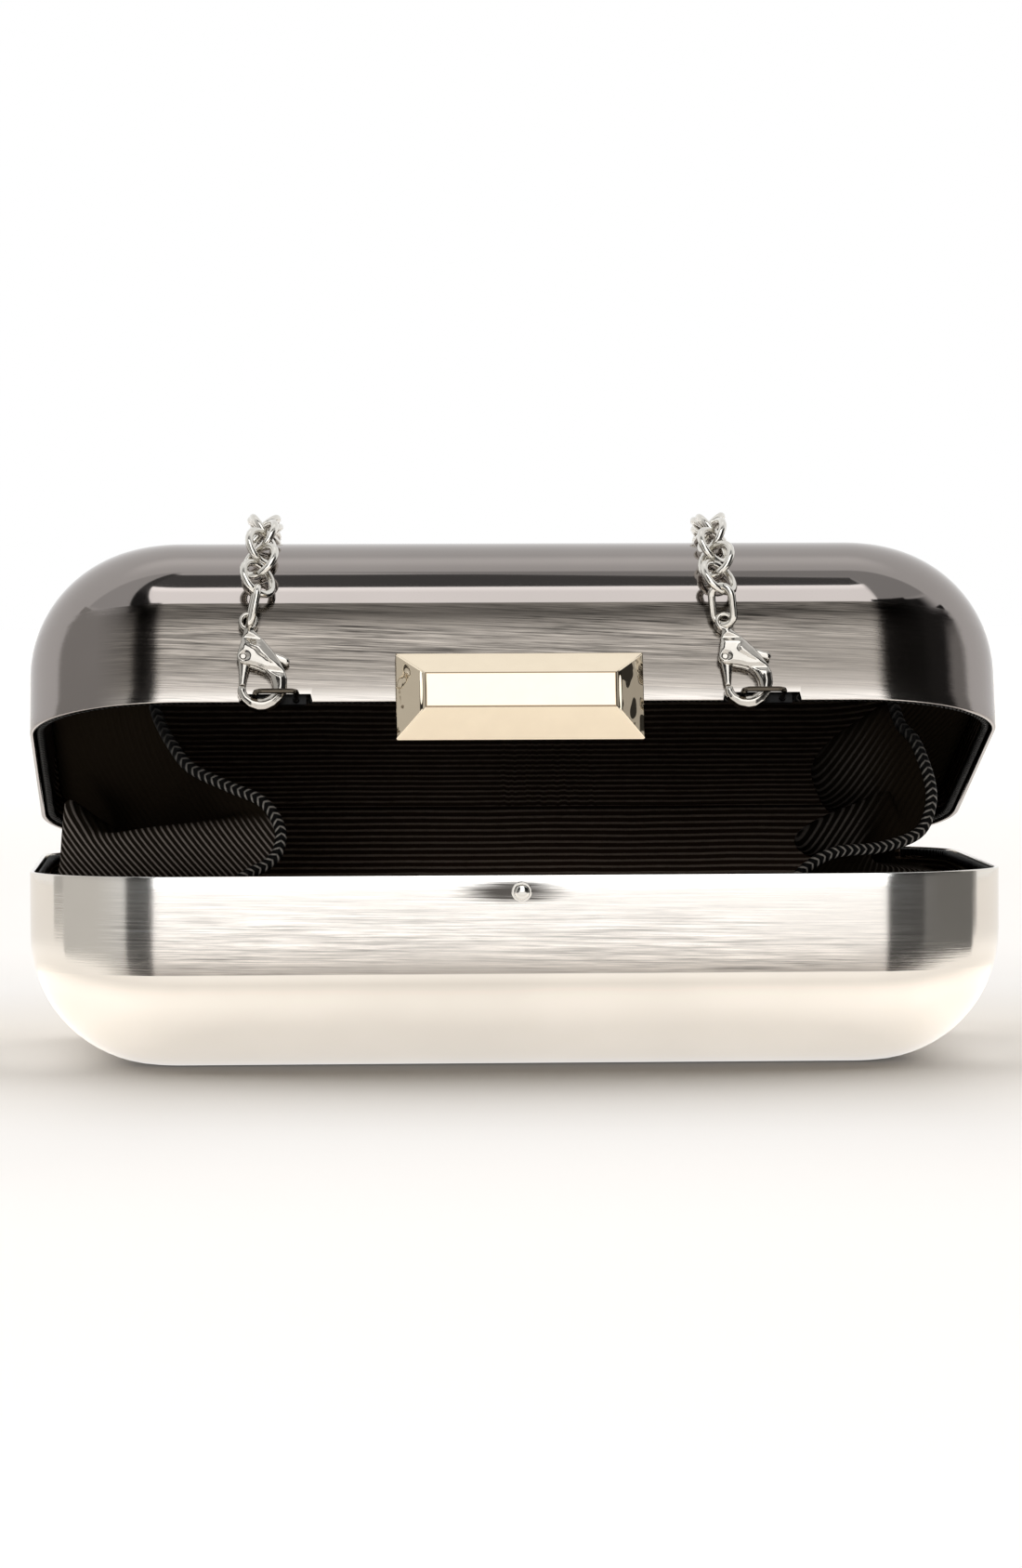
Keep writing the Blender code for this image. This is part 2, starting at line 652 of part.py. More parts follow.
def make_bar(finish):
    """The faceted bar: a skirt, a bevelled crown, a pocket behind and a way in for the stud."""
    shape = bmesh.new()
    sections = [
        (BAR_WIDTH, BAR_HEIGHT, 0), (BAR_WIDTH, BAR_HEIGHT, BAR_SKIRT),
        (BAR_FLAT_WIDTH, BAR_FLAT_HEIGHT, BAR_THICKNESS),
    ]
    bmesh.ops.create_cube(shape, size=1)
    bmesh.ops.scale(shape, vec=(BAR_WIDTH, BAR_SKIRT, BAR_HEIGHT), verts=shape.verts)
    bmesh.ops.translate(shape, vec=(0, -BAR_SKIRT / 2, 0), verts=shape.verts)
    front = min(shape.faces, key=lambda face: face.calc_center_median().y)
    crown = bmesh.ops.extrude_discrete_faces(shape, faces=[front])["faces"][0]
    width, height, reach = sections[-1]
    for corner in crown.verts:
        corner.co.x *= width / BAR_WIDTH
        corner.co.z *= height / BAR_HEIGHT
        corner.co.y = -reach
    bar = from_bmesh("clasp_bar", shape, finish)
    bar.data.transform(Matrix.Translation((0, BAR_BACK_Y, BAR_CENTRE_Z)))
    pocket = box(
        "bar_pocket",
        (-BAR_POCKET_WIDTH / 2, BAR_BACK_Y - BAR_POCKET, BAR_CENTRE_Z - BAR_POCKET_HEIGHT / 2),
        (BAR_POCKET_WIDTH / 2, BAR_BACK_Y + CUT_OVERRUN, BAR_CENTRE_Z + BAR_POCKET_HEIGHT / 2),
    )
    stud_reach = STUD_SEAT + STUD_FLANGE + STUD_NECK + STUD_HEAD + 2 * GAP
    way_in = box(
        "stud_way_in",
        (-STUD_FLANGE_RADIUS - GAP, FRONT_Y - stud_reach, BAR_CENTRE_Z - BAR_HEIGHT),
        (STUD_FLANGE_RADIUS + GAP, FRONT_Y + CUT_OVERRUN, BAR_CENTRE_Z),
    )
    relief = box(
        "bar_relief", (-BAR_WIDTH, 0, -CUT_OVERRUN / 5), (BAR_WIDTH, CUT_OVERRUN, BAR_HEIGHT),
    )
    relief.data.transform(Matrix.Rotation(BAR_SWING, 4, "X"))
    relief.data.transform(Matrix.Translation((0, BAR_BACK_Y, CLASP_PIN_Z)))
    reach = BAR_POCKET_WIDTH / 2 + CLASP_PIN_INSERT + GAP
    pin_hole = rod("bar_pin_hole", (-reach, CLASP_PIN_Y, CLASP_PIN_Z), (reach, CLASP_PIN_Y, CLASP_PIN_Z),
                   CLASP_PIN_RADIUS + RUNNING_FIT)
    cut(bar, pocket, way_in, relief, pin_hole)
    for side in (-1, 1):
        x = side * CATCH_POST_SPACING / 2
        z = STUD_Z + CATCH_HEIGHT / 4 + RIM_GAP
        catch_back = catch_front_y() + GAP
        post = rod(f"catch_post_{side}", (x, BAR_BACK_Y - BAR_POCKET - BAR_SKIRT / 2, z),
                   (x, catch_front_y() - GAP, z), CATCH_POST_RADIUS, sides=12)
        stub = rod(f"catch_stub_{side}", (x, catch_front_y() - 2 * GAP, z), (x, catch_back, z),
                   CATCH_STUB_RADIUS, sides=12)
        add(bar, post, stub)
    return bar


def catch_front_y():
    """The catch plate's front face, in the middle of the stud's neck."""
    return FRONT_Y - STUD_SEAT - STUD_FLANGE - STUD_NECK / 2 - CATCH / 2


def make_catch(finish):
    """The flat spring in the bar whose two prongs snap round the stud's neck."""
    low, high = STUD_Z - CATCH_HEIGHT / 4, STUD_Z + CATCH_HEIGHT * 3 / 4
    half, slot = CATCH_WIDTH / 2, CATCH_SLOT / 2
    outline = [(-half, high), (-half, low + CATCH_HEIGHT / 3), (-slot * 3, low), (-slot * 1.3, low)]
    outline += [(-slot * 0.7, STUD_Z - CATCH_HEIGHT / 5), (-slot, STUD_Z)]
    outline += [(slot * math.cos(turn), STUD_Z + slot * math.sin(turn))
                for turn in (math.pi * 0.75, math.pi * 0.5, math.pi * 0.25)]
    outline += [(-x, z) for x, z in reversed(outline[:6])]
    plate = flat("catch_spring", outline, CATCH, finish)
    plate.data.transform(Matrix.Translation((0, catch_front_y() + CATCH / 2, 0)))
    for side in (-1, 1):
        x = side * CATCH_POST_SPACING / 2
        z = STUD_Z + CATCH_HEIGHT / 4 + RIM_GAP
        cut(plate, rod(f"catch_hole_{side}", (x, FRONT_Y - CUT_OVERRUN, z), (x, FRONT_Y + CUT_OVERRUN, z),
                       CATCH_STUB_RADIUS + RUNNING_FIT * 2, sides=12))
    return plate


def make_clasp_bracket(finish, pin_finish, rivet_finish):
    """A plate on the lid's front wall with two ears that carry the bar's pin."""
    low, high = CLASP_PIN_Z - BRACKET_BELOW_PIN, CLASP_PIN_Z + BRACKET_ABOVE_PIN
    plate = box(
        "clasp_bracket", (-BRACKET_WIDTH / 2, FRONT_Y - GAP - BRACKET, low),
        (BRACKET_WIDTH / 2, FRONT_Y - GAP, high), finish,
    )
    for side in (-1, 1):
        x = side * EAR_SPACING / 2
        foot = box(
            f"ear_foot_{side}", (x - EAR / 2, CLASP_PIN_Y, CLASP_PIN_Z - EAR_RADIUS),
            (x + EAR / 2, FRONT_Y - GAP - BRACKET / 2, CLASP_PIN_Z + EAR_RADIUS),
        )
        tip = rod(f"ear_tip_{side}", (x - EAR / 2, CLASP_PIN_Y, CLASP_PIN_Z),
                  (x + EAR / 2, CLASP_PIN_Y, CLASP_PIN_Z), EAR_RADIUS)
        add(plate, foot, tip)
    reach = BAR_POCKET_WIDTH / 2 + CLASP_PIN_INSERT
    pin = smooth(rod("clasp_pin", (-reach, CLASP_PIN_Y, CLASP_PIN_Z), (reach, CLASP_PIN_Y, CLASP_PIN_Z),
                     CLASP_PIN_RADIUS, pin_finish))
    cut(plate, rod("bracket_bore", (-BRACKET_WIDTH, CLASP_PIN_Y, CLASP_PIN_Z),
                   (BRACKET_WIDTH, CLASP_PIN_Y, CLASP_PIN_Z), CLASP_PIN_RADIUS + RUNNING_FIT))
    rivets, drills = rivet_row("clasp_bracket_rivet", bracket_rivet_places(), (0, -1, 0), BRACKET,
                               rivet_finish)
    cut(plate, copy_of(drills, "bracket_holes"))
    return plate, pin, rivets, drills


def torsion_spring(name, centre, axis, inner_radius, arm, finish, turns=SPRING_TURNS):
    """A short coil round a pin, with two straight arms."""
    radius = inner_radius + SPRING_WIRE_RADIUS + GAP / 2
    per_turn = 10
    count = turns * per_turn
    points = [Vector((radius, -arm, -turns * SPRING_PITCH / 2))]
    for k in range(count + 1):
        turn = 2 * math.pi * k / per_turn
        points.append(Vector((radius * math.cos(turn), radius * math.sin(turn),
                              (k / count - 0.5) * turns * SPRING_PITCH)))
    points.append(Vector((radius, arm, turns * SPRING_PITCH / 2)))
    turn = Vector(axis).to_track_quat("Z", "Y").to_matrix().to_4x4()
    places = [Vector(centre) + turn @ point for point in points]
    return tube(name, places, SPRING_WIRE_RADIUS, finish, resolution=1)


def make_bail(name, x, finish, bracket_finish):
    """A wire staple through the notch in the lid's rim, held by a bracket inside the wall."""
    half = BAIL_WIDTH / 2
    front = FRONT_Y - BAIL_OUT
    bracket_y = FRONT_Y + WALL + GAP
    end = bracket_y + BAIL_BRACKET + GAP
    corner = [math.pi / 2 * k / 4 for k in range(5)]
    left = [(x - half + BAIL_BEND * (1 - math.cos(turn)), front + BAIL_BEND * (1 - math.sin(turn)))
            for turn in corner]
    right = [(2 * x - px, py) for px, py in reversed(left)]
    points = [(px, py, BAIL_Z) for px, py in [(x - half, end), *left, *right, (x + half, end)]]
    bail = tube(f"{name}_bail", points, BAIL_WIRE_RADIUS, finish)
    low = BAIL_Z - BAIL_WIRE_RADIUS - RUNNING_FIT - BAIL_BRACKET_EDGE
    plate = box(
        f"{name}_bail_bracket", (x - BAIL_BRACKET_WIDTH / 2, bracket_y, low),
        (x + BAIL_BRACKET_WIDTH / 2, bracket_y + BAIL_BRACKET, low + BAIL_BRACKET_HEIGHT), bracket_finish,
    )
    for side in (-half, half):
        cut(plate, rod(f"{name}_bail_hole_{side > 0}", (x + side, bracket_y - CUT_OVERRUN, BAIL_Z),
                       (x + side, bracket_y + CUT_OVERRUN, BAIL_Z), BAIL_WIRE_RADIUS + 2 * RUNNING_FIT))
    notch = box(
        f"{name}_notch", (x - NOTCH_WIDTH / 2, FRONT_Y - CUT_OVERRUN, LID_RIM_Z - CUT_OVERRUN),
        (x + NOTCH_WIDTH / 2, FRONT_Y + WALL + GAP, LID_RIM_Z + NOTCH_HEIGHT),
    )
    room = box(
        f"{name}_bail_room",
        (x - BAIL_BRACKET_WIDTH / 2 - GAP, FRONT_Y + WALL / 2, LID_RIM_Z - CUT_OVERRUN),
        (x + BAIL_BRACKET_WIDTH / 2 + GAP, bracket_y + BAIL_BRACKET + 2 * GAP + CUT_OVERRUN / 5,
         low + BAIL_BRACKET_HEIGHT + GAP),
    )
    return bail, plate, notch, room


def clip_points(shares):
    return [(across * CLIP_WIDTH, down * CLIP_LENGTH) for across, down in shares]


def make_clip(side, finish, lever_finish, spring_finish):
    """A lobster clip drawn round the centre of its eye: hook, lever, rivet and lever spring."""
    pivot_x, pivot_z = CLIP_PIVOT_SHARES[0] * CLIP_WIDTH, CLIP_PIVOT_SHARES[1] * CLIP_LENGTH
    hook = flat(f"{side}_clip_hook", clip_points(CLIP_OUTER_SHARES), CLIP_THICKNESS, finish)
    eye = rod(f"{side}_eye", (0, -CLIP_THICKNESS / 2, 0), (0, CLIP_THICKNESS / 2, 0), CLIP_EYE_RADIUS)
    eye_hole = rod(f"{side}_eye_hole", (0, -CUT_OVERRUN, 0), (0, CUT_OVERRUN, 0), CLIP_EYE_HOLE)
    left, right, top, bottom = LEVER_SLOT_SHARES
    slot_half = CLIP_LEVER / 2 + CLIP_LEVER_PLAY
    slot = box(
        f"{side}_lever_slot", (left * CLIP_WIDTH, -slot_half, bottom * CLIP_LENGTH - CLIP_BOSS_RADIUS),
        (right * CLIP_WIDTH, slot_half, top * CLIP_LENGTH),
    )
    nose = box(
        f"{side}_nose_room", (left * CLIP_WIDTH, -slot_half, -CLIP_LENGTH * 0.752),
        (CLIP_WIDTH * 0.3, slot_half, bottom * CLIP_LENGTH - CLIP_BOSS_RADIUS),
    )
    rivet_hole = rod(f"{side}_rivet_hole", (pivot_x, -CUT_OVERRUN, pivot_z), (pivot_x, CUT_OVERRUN, pivot_z),
                     CLIP_RIVET_RADIUS + RUNNING_FIT, sides=12)
    add(hook, eye)
    cut(hook, eye_hole, slot, nose, rivet_hole)
    lever = flat(f"{side}_clip_lever", clip_points(LEVER_SHARES), CLIP_LEVER, lever_finish)
    cut(lever, rod(f"{side}_lever_hole", (pivot_x, -CUT_OVERRUN, pivot_z), (pivot_x, CUT_OVERRUN, pivot_z),
                   CLIP_RIVET_RADIUS + RUNNING_FIT, sides=12))
    rivet = smooth(rod(f"{side}_clip_rivet", (pivot_x, -CLIP_THICKNESS / 2, pivot_z),
                       (pivot_x, CLIP_THICKNESS / 2, pivot_z), CLIP_RIVET_RADIUS, finish, sides=12))
    route = [(x, 0, z) for x, z in clip_points(LEVER_SPRING_SHARES)]
    spring = tube(f"{side}_lever_spring", route, SPRING_WIRE_RADIUS, spring_finish, resolution=1)
    return hook, lever, rivet, spring, (pivot_x, pivot_z)


def gusset_rail(z, front_x, lid):
    """Points along the inside of an end of the case, from near the front's middle to the back corner."""
    half_x, half_y = CASE_WIDTH / 2 - GUSSET_INSET, CASE_DEPTH / 2 - GUSSET_INSET
    corner_x, corner_y = CORNER_X - GUSSET_INSET, CORNER_Y - GUSSET_INSET
    past = front_x - (half_x - corner_x)
    start = math.asin(max(past, 0) / corner_x)
    plan = [(front_x, -half_y)] if past < 0 else []
    bends = GUSSET_BENDS - len(plan)
    for k in range(bends):
        turn = start + (math.pi / 2 - start) * k / (bends - 1)
        plan.append((half_x - corner_x + corner_x * math.sin(turn),
                     -half_y + corner_y - corner_y * math.cos(turn)))
    plan += [(half_x, 0), (half_x, half_y - corner_y)]
    points = [Vector((x, y, z)) for x, y in plan]
    return [opened(point) for point in points] if lid else points


def make_gusset(name, side, finish, cord_finish):
    """A fabric fan at one end, slack so that it folds inwards, with a corded front edge."""
    lower = gusset_rail(RIM_Z - GUSSET_BELOW_RIM, CASE_WIDTH / 2 - GUSSET_REACH_LOWER, False)
    upper = gusset_rail(LID_RIM_Z + GUSSET_BELOW_RIM, CASE_WIDTH / 2 - GUSSET_REACH_UPPER, True)
    rows = []
    steps = 6
    count = len(lower) - 1
    for k, (foot, head) in enumerate(zip(lower, upper)):
        slack = GUSSET_BULGE * (1 - k / count) ** 0.5
        row = []
        for n in range(steps + 1):
            t = n / steps
            point = foot.lerp(head, t)
            point.x -= slack * math.sin(math.pi * t**GUSSET_FOLD_SHARE)
            row.append(Vector((side * point.x, point.y, point.z)))
        rows.append(row)
    fabric = sheet(name, rows, GUSSET, finish)
    clear = GUSSET / 2 + GUSSET_CORD_RADIUS + 2 * GAP
    edge = [point - Vector((side * clear, 0, 0)) for point in rows[0]]
    cord = tube(f"{name}_cord", smooth_route(edge, GUSSET_CORD_RADIUS * 4), GUSSET_CORD_RADIUS, cord_finish,
                resolution=1)
    return fabric, cord


def make_hinge_flap(finish):
    """The strip of lining that carries on over the hinge from the lower half to the lid."""
    y = CASE_DEPTH / 2 - WALL - 2 * BRAID_RADIUS - 2 * GAP - GUSSET / 2
    foot = Vector((0, y, RIM_Z - GUSSET_BELOW_RIM))
    head = opened((0, y, LID_RIM_Z + GUSSET_BELOW_RIM))
    rows = []
    steps = 6
    for n in range(steps + 1):
        t = n / steps
        point = foot.lerp(head, t)
        point.y -= HINGE_FLAP_BULGE * math.sin(math.pi * t)
        rows.append([Vector((x, point.y, point.z)) for x in (-HINGE_FLAP_WIDTH / 2, HINGE_FLAP_WIDTH / 2)])
    return sheet("hinge_flap", rows, GUSSET, finish)


def rim_braid(name, z, finish, stop_x=0.0):
    """The braid inside a rim, all round, or round the back between two places on the front."""
    inset = WALL + GAP + BRAID_RADIUS
    ring = plan_ring(CASE_WIDTH / 2 - inset, CASE_DEPTH / 2 - inset, CORNER_X - inset, CORNER_Y - inset, 6)
    points = [(x, y, z) for x, y in ring]
    if stop_x:
        turn = len(points) * 3 // 4
        front_y = min(y for x, y in ring)
        points = [(stop_x, front_y, z), *points[turn:], *points[:turn], (-stop_x, front_y, z)]
    return tube(name, points, BRAID_RADIUS, finish, resolution=1, cyclic=not stop_x)


def board(name, low, finish):
    """A stiff card under the lining, on the flat of a shell."""
    half_x = CASE_WIDTH / 2 - END_EDGE - BOARD_INSET
    half_y = CASE_DEPTH / 2 - FRONT_EDGE - BOARD_INSET
    outline = plan_ring(half_x, half_y, BOARD_INSET, BOARD_INSET, 3)
    plate = flat(name, outline, BOARD, finish)
    plate.data.transform(Matrix.Rotation(math.pi / 2, 4, "X"))
    plate.data.transform(Matrix.Translation((0, 0, low + BOARD / 2)))
    return plate


def coil_ring(name, finish):
    """The coiled middle of the chain, as one ring of its outer shape."""
    half = CHAIN_RADIUS + GAP
    top = COIL_LAYERS * COIL_TURN_SPACE + GAP
    round_off = half * 0.5
    inner, outer = COIL_RADIUS - half, COIL_RADIUS + half
    profile = [
        (inner, round_off), (inner, top - round_off), (inner + round_off, top), (outer - round_off, top),
        (outer, top - round_off), (outer, round_off), (outer - round_off, 0), (inner + round_off, 0),
        (inner, round_off),
    ]
    return smooth(turned(name, profile, (0, COIL_CENTRE_Y, 0), (0, 0, 1), finish, sides=32))


def build():
    clear_scene()
    nickel = material("brushed_nickel", (0.62, 0.59, 0.55), 0.28, 1)
    gunmetal = material("brushed_gunmetal", (0.26, 0.25, 0.25), 0.25, 1)
    gold = material("pale_gold", (0.93, 0.75, 0.52), 0.08, 1)
    bright = material("bright_nickel", (0.75, 0.73, 0.69), 0.1, 1)
    steel = material("plain_steel", (0.5, 0.5, 0.5), 0.35, 1)
    lining = material("black_grosgrain", (0.012, 0.012, 0.013), 0.7, 0)
    card = material("grey_card", (0.35, 0.33, 0.3), 0.9, 0)

    leaves, hinge_pin, hinge_rivets, hinge_drills = make_hinge(nickel, steel, steel)
    stud, washer, stud_hole = make_stud(bright, steel)
    bracket, clasp_pin, bracket_rivets, bracket_drills = make_clasp_bracket(steel, steel, steel)
    clasp_spring = torsion_spring("clasp_spring", (0, CLASP_PIN_Y, CLASP_PIN_Z), (1, 0, 0),
                                  CLASP_PIN_RADIUS, 0.8 * SPRING_ARM, steel)
    bar = make_bar(gold)
    catch = make_catch(steel)

    lower_shell = bowl("lower_shell", 0, 0, LOWER_HEIGHT, WALL, 0, 1, nickel, 9, 8)
    cut(lower_shell, stud_hole, hinge_drills[0])
    upper_shell = bowl("upper_shell", 0, 0, UPPER_HEIGHT, WALL, LID_TOP_Z, -1, gunmetal, 9, 8)
    cut(upper_shell, hinge_drills[1], bracket_drills)

    edge = BRAID_BELOW_RIM + 2 * BRAID_RADIUS + GAP
    floor_inset = WALL + 2 * GAP + BOARD
    lower_lining = bowl("lower_lining", LINING_INSET, floor_inset, LOWER_HEIGHT - floor_inset - edge,
                        LINING, 0, 1, lining, 4, 4)
    upper_lining = bowl("upper_lining", LINING_INSET, floor_inset, UPPER_HEIGHT - floor_inset - edge,
                        LINING, LID_TOP_Z, -1, lining, 4, 4)
    lower_braid = rim_braid("lower_rim_braid", RIM_Z - BRAID_BELOW_RIM - BRAID_RADIUS, lining)
    braid_z = LID_RIM_Z + BRAID_BELOW_RIM + BRAID_RADIUS
    braid_stop = BAIL_BRACKET_WIDTH / 2 + GAP
    upper_braid = rim_braid("upper_rim_braid", braid_z, lining, BAIL_X + braid_stop)
    braid_y = FRONT_Y + WALL + GAP + BRAID_RADIUS
    front_braid = tube("upper_rim_braid_front", [(braid_stop - BAIL_X, braid_y, braid_z),
                                                 (BAIL_X - braid_stop, braid_y, braid_z)],
                       BRAID_RADIUS, lining, resolution=1)
    board("lower_board", WALL + GAP, card)
    upper_board = board("upper_board", LID_TOP_Z - WALL - GAP - BOARD, card)

    lid_pivot = empty("lid_pivot", (0, HINGE_Y, HINGE_Z), turn=(-REST_OPENING, 0, 0))
    clasp_pivot = empty("clasp_pivot", (0, CLASP_PIN_Y, CLASP_PIN_Z), lid_pivot)
    lid_cutters = [hinge_drills[1], bracket_drills]
    lid_pieces = [leaves[1], *hinge_rivets[1], bracket, clasp_pin, *bracket_rivets, upper_shell,
                  upper_lining, upper_braid, front_braid, upper_board]

    for side, place, lean in (("left", -1, LEFT_CLIP_LEAN), ("right", 1, 0)):
        bail, plate, notch, room = make_bail(side, place * BAIL_X, bright, steel)
        cut(upper_shell, notch)
        cut(upper_lining, room)
        lid_pieces += [bail, plate]
        lid_cutters += [notch, room]

        hook, lever, rivet, spring, (pivot_x, pivot_z) = make_clip(side, bright, bright, steel)
        leg_x = place * BAIL_X - BAIL_WIDTH / 2
        leg = Vector((CLIP_WIDTH * 0.353, 0, -CLIP_LENGTH * 0.877 + GAP + BAIL_WIRE_RADIUS))
        leaning = Matrix.Rotation(lean, 4, "Y")
        eye = Vector((leg_x, CLIP_MID_Y, BAIL_Z)) - leaning @ leg
        swing = empty(f"{side}_clip_swing", (eye.x, CLIP_BACK_Y, eye.z - CLIP_LENGTH), lid_pivot)
        seat = empty(f"{side}_clip_seat", eye, swing, turn=(0, lean, 0))
        lever_pivot = empty(f"{side}_lever_pivot", eye + Vector((pivot_x, 0, pivot_z)), seat)
        for piece in (hook, rivet, spring):
            piece.parent = seat
        lever.data.transform(Matrix.Translation((-pivot_x, 0, -pivot_z)))
        lever.parent = lever_pivot
        for modifier in lever.modifiers:
            if modifier.type == "BOOLEAN":
                modifier.object.data.transform(Matrix.Translation((-pivot_x, 0, -pivot_z)))
                modifier.object.parent = lever_pivot
        for modifier in hook.modifiers:
            if modifier.type == "BOOLEAN":
                modifier.object.parent = seat

        over, drop = ((LEFT_CHAIN_OVER, LEFT_CHAIN_DROP) if side == "left"
                      else (RIGHT_CHAIN_OVER, RIGHT_CHAIN_DROP))
        chain_over = tube(f"chain_{side}_over", smooth_route(over, CHAIN_STEP), CHAIN_RADIUS, bright)
        tube(f"chain_{side}_drop", smooth_route(drop, CHAIN_STEP), CHAIN_RADIUS, bright)
        hang_as_open(lid_pivot, chain_over)

        make_gusset(f"{side}_gusset", place, lining, lining)

    make_hinge_flap(lining)
    coil_ring("chain_coil", bright)

    for piece in lid_pieces:
        for modifier in piece.modifiers:
            if modifier.type == "BOOLEAN" and modifier.object not in lid_cutters:
                lid_cutters.append(modifier.object)
    hang(lid_pivot, *lid_pieces, *lid_cutters)
    clasp_pieces = [bar, catch]
    clasp_cutters = [m.object for piece in clasp_pieces for m in piece.modifiers if m.type == "BOOLEAN"]
    hang(clasp_pivot, *clasp_pieces, *clasp_cutters)
    hang(lid_pivot, clasp_spring)


build()
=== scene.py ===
"""Looks of the box clutch: a plain white studio, and finer pieces over the part's solids.

Everything is in metres in the part's own frame: X along the width, -Y the front, Z up.
"""

from math import acos, atan2, copysign, cos, degrees, dist, pi, radians, sin, sqrt, tan

import bmesh
import bpy
import numpy as np
from mathutils import Matrix, Vector
from mathutils.kdtree import KDTree


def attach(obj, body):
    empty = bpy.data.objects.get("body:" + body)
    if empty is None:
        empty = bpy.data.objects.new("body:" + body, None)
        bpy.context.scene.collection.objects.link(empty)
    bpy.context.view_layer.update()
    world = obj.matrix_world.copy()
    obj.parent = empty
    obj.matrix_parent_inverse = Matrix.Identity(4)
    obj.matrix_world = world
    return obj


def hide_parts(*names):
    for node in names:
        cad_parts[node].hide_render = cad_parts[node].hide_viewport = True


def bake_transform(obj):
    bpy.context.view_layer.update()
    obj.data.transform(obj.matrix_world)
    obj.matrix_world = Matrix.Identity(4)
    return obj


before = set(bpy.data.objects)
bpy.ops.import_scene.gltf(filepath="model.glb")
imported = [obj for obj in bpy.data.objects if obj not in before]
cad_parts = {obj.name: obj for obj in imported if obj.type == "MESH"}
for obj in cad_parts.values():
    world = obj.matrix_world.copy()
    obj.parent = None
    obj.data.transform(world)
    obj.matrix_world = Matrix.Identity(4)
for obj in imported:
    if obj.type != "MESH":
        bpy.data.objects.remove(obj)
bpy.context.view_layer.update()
MM = 0.001

# Case, as in the part
CASE_WIDTH, CASE_DEPTH = 178 * MM, 95 * MM
LOWER_HEIGHT, UPPER_HEIGHT = 35.5 * MM, 35 * MM
CORNER_X, CORNER_Y = 28 * MM, 20.5 * MM
END_EDGE, FRONT_EDGE = 24 * MM, 17.7 * MM
WALL = 0.8 * MM
RIM_Z = LOWER_HEIGHT
LID_RIM_Z = RIM_Z + 0.4 * MM
LID_TOP_Z = LID_RIM_Z + UPPER_HEIGHT
LOWER_BREAK = LOWER_HEIGHT - FRONT_EDGE
UPPER_BREAK = UPPER_HEIGHT - FRONT_EDGE + 1.4 * MM
FRONT_Y = -CASE_DEPTH / 2
BAR_WIDTH, BAR_HEIGHT = 44.8 * MM, 16.4 * MM
BAR_FLAT_WIDTH, BAR_FLAT_HEIGHT = 34.2 * MM, 6.3 * MM
BAR_Z = LID_RIM_Z + 0.4 * MM
STUD_Z = RIM_Z - 3 * MM
HINGE = Vector((0, 49.5 * MM, 35.7 * MM))
OPENING = radians(18.5)
LID_TURN = Matrix.Translation(HINGE) @ Matrix.Rotation(-OPENING, 4, "X") @ Matrix.Translation(-HINGE)


def opened(point):
    """A place on the shut lid, where it is on the lid as photographed."""
    return LID_TURN @ Vector(point)


# Shading


class Shade:
    """A value in a material; arithmetic on it adds Math nodes."""

    def __init__(self, tree, socket=None):
        self.tree, self.socket = tree, socket

    def node(self, kind, settings, sockets, out=0):
        """A node of a kind: its settings are made first, then the values or links of its sockets."""
        node = self.tree.nodes.new(kind)
        for name, value in settings.items():
            if name == "stops":
                stops = node.color_ramp.elements
                while len(stops) < len(value):
                    stops.new(0.5)
                for stop, (place, colour) in zip(stops, value):
                    stop.position = place
                    stop.color = (*colour, 1)
            else:
                setattr(node, name, value)
        for name, value in sockets.items():
            self.plug(node.inputs[name], value)
        return Shade(self.tree, node.outputs[out])

    def plug(self, socket, value):
        if isinstance(value, Shade):
            self.tree.links.new(value.socket, socket)
        elif socket.type == "RGBA":
            socket.default_value = (*value, 1)
        else:
            socket.default_value = value

    def math(self, operation, first, second=0.0):
        return self.node("ShaderNodeMath", {"operation": operation}, {0: first, 1: second})

    def __add__(self, other):
        return self.math("ADD", self, other)

    def __sub__(self, other):
        return self.math("SUBTRACT", self, other)

    def __rsub__(self, other):
        return self.math("SUBTRACT", other, self)

    def __mul__(self, other):
        return self.math("MULTIPLY", self, other)

    def __truediv__(self, other):
        return self.math("DIVIDE", self, other)

    __radd__ = __add__
    __rmul__ = __mul__

    def size(self):
        return self.math("ABSOLUTE", self)

    def most(self, other=0.0):
        return self.math("MAXIMUM", self, other)

    def sine(self):
        return self.math("SINE", self)

    def root(self):
        return self.math("SQRT", self)

    def bounce(self, height):
        """Up from 0 to a height and down again, over and over."""
        return self.math("PINGPONG", self, height)

    def step(self, low, high):
        """0 at low, 1 at high, smooth between them."""
        settings = {"interpolation_type": "SMOOTHSTEP"}
        return self.node("ShaderNodeMapRange", settings, {"Value": self, "From Min": low, "From Max": high})

    def ramp(self, stops):
        """A colour through (place, colour) stops."""
        return self.node("ShaderNodeValToRGB", {"stops": stops}, {"Fac": self})

    def mix(self, first, second):
        """A colour between two colours."""
        return self.node("ShaderNodeMix", {"data_type": "RGBA"}, {0: self, 6: first, 7: second}, 2)

    def times(self, amount):
        """This colour made lighter or darker."""
        return self.node("ShaderNodeVectorMath", {"operation": "SCALE"}, {0: self, "Scale": amount})

    def join(self, *parts):
        return self.node("ShaderNodeCombineXYZ", {}, dict(enumerate(parts)))

    def split(self):
        return [self.node("ShaderNodeSeparateXYZ", {}, {0: self}, k) for k in range(3)]

    def where(self, coordinates="Object"):
        return self.node("ShaderNodeTexCoord", {}, {}, coordinates)

    def attribute(self, name):
        return self.node("ShaderNodeAttribute", {"attribute_name": name}, {}, "Fac")

    def noise(self, vector, scale=1.0, detail=3.0, roughness=0.55):
        sockets = {"Vector": vector, "Scale": scale, "Detail": detail, "Roughness": roughness}
        return self.node("ShaderNodeTexNoise", {}, sockets, "Fac")


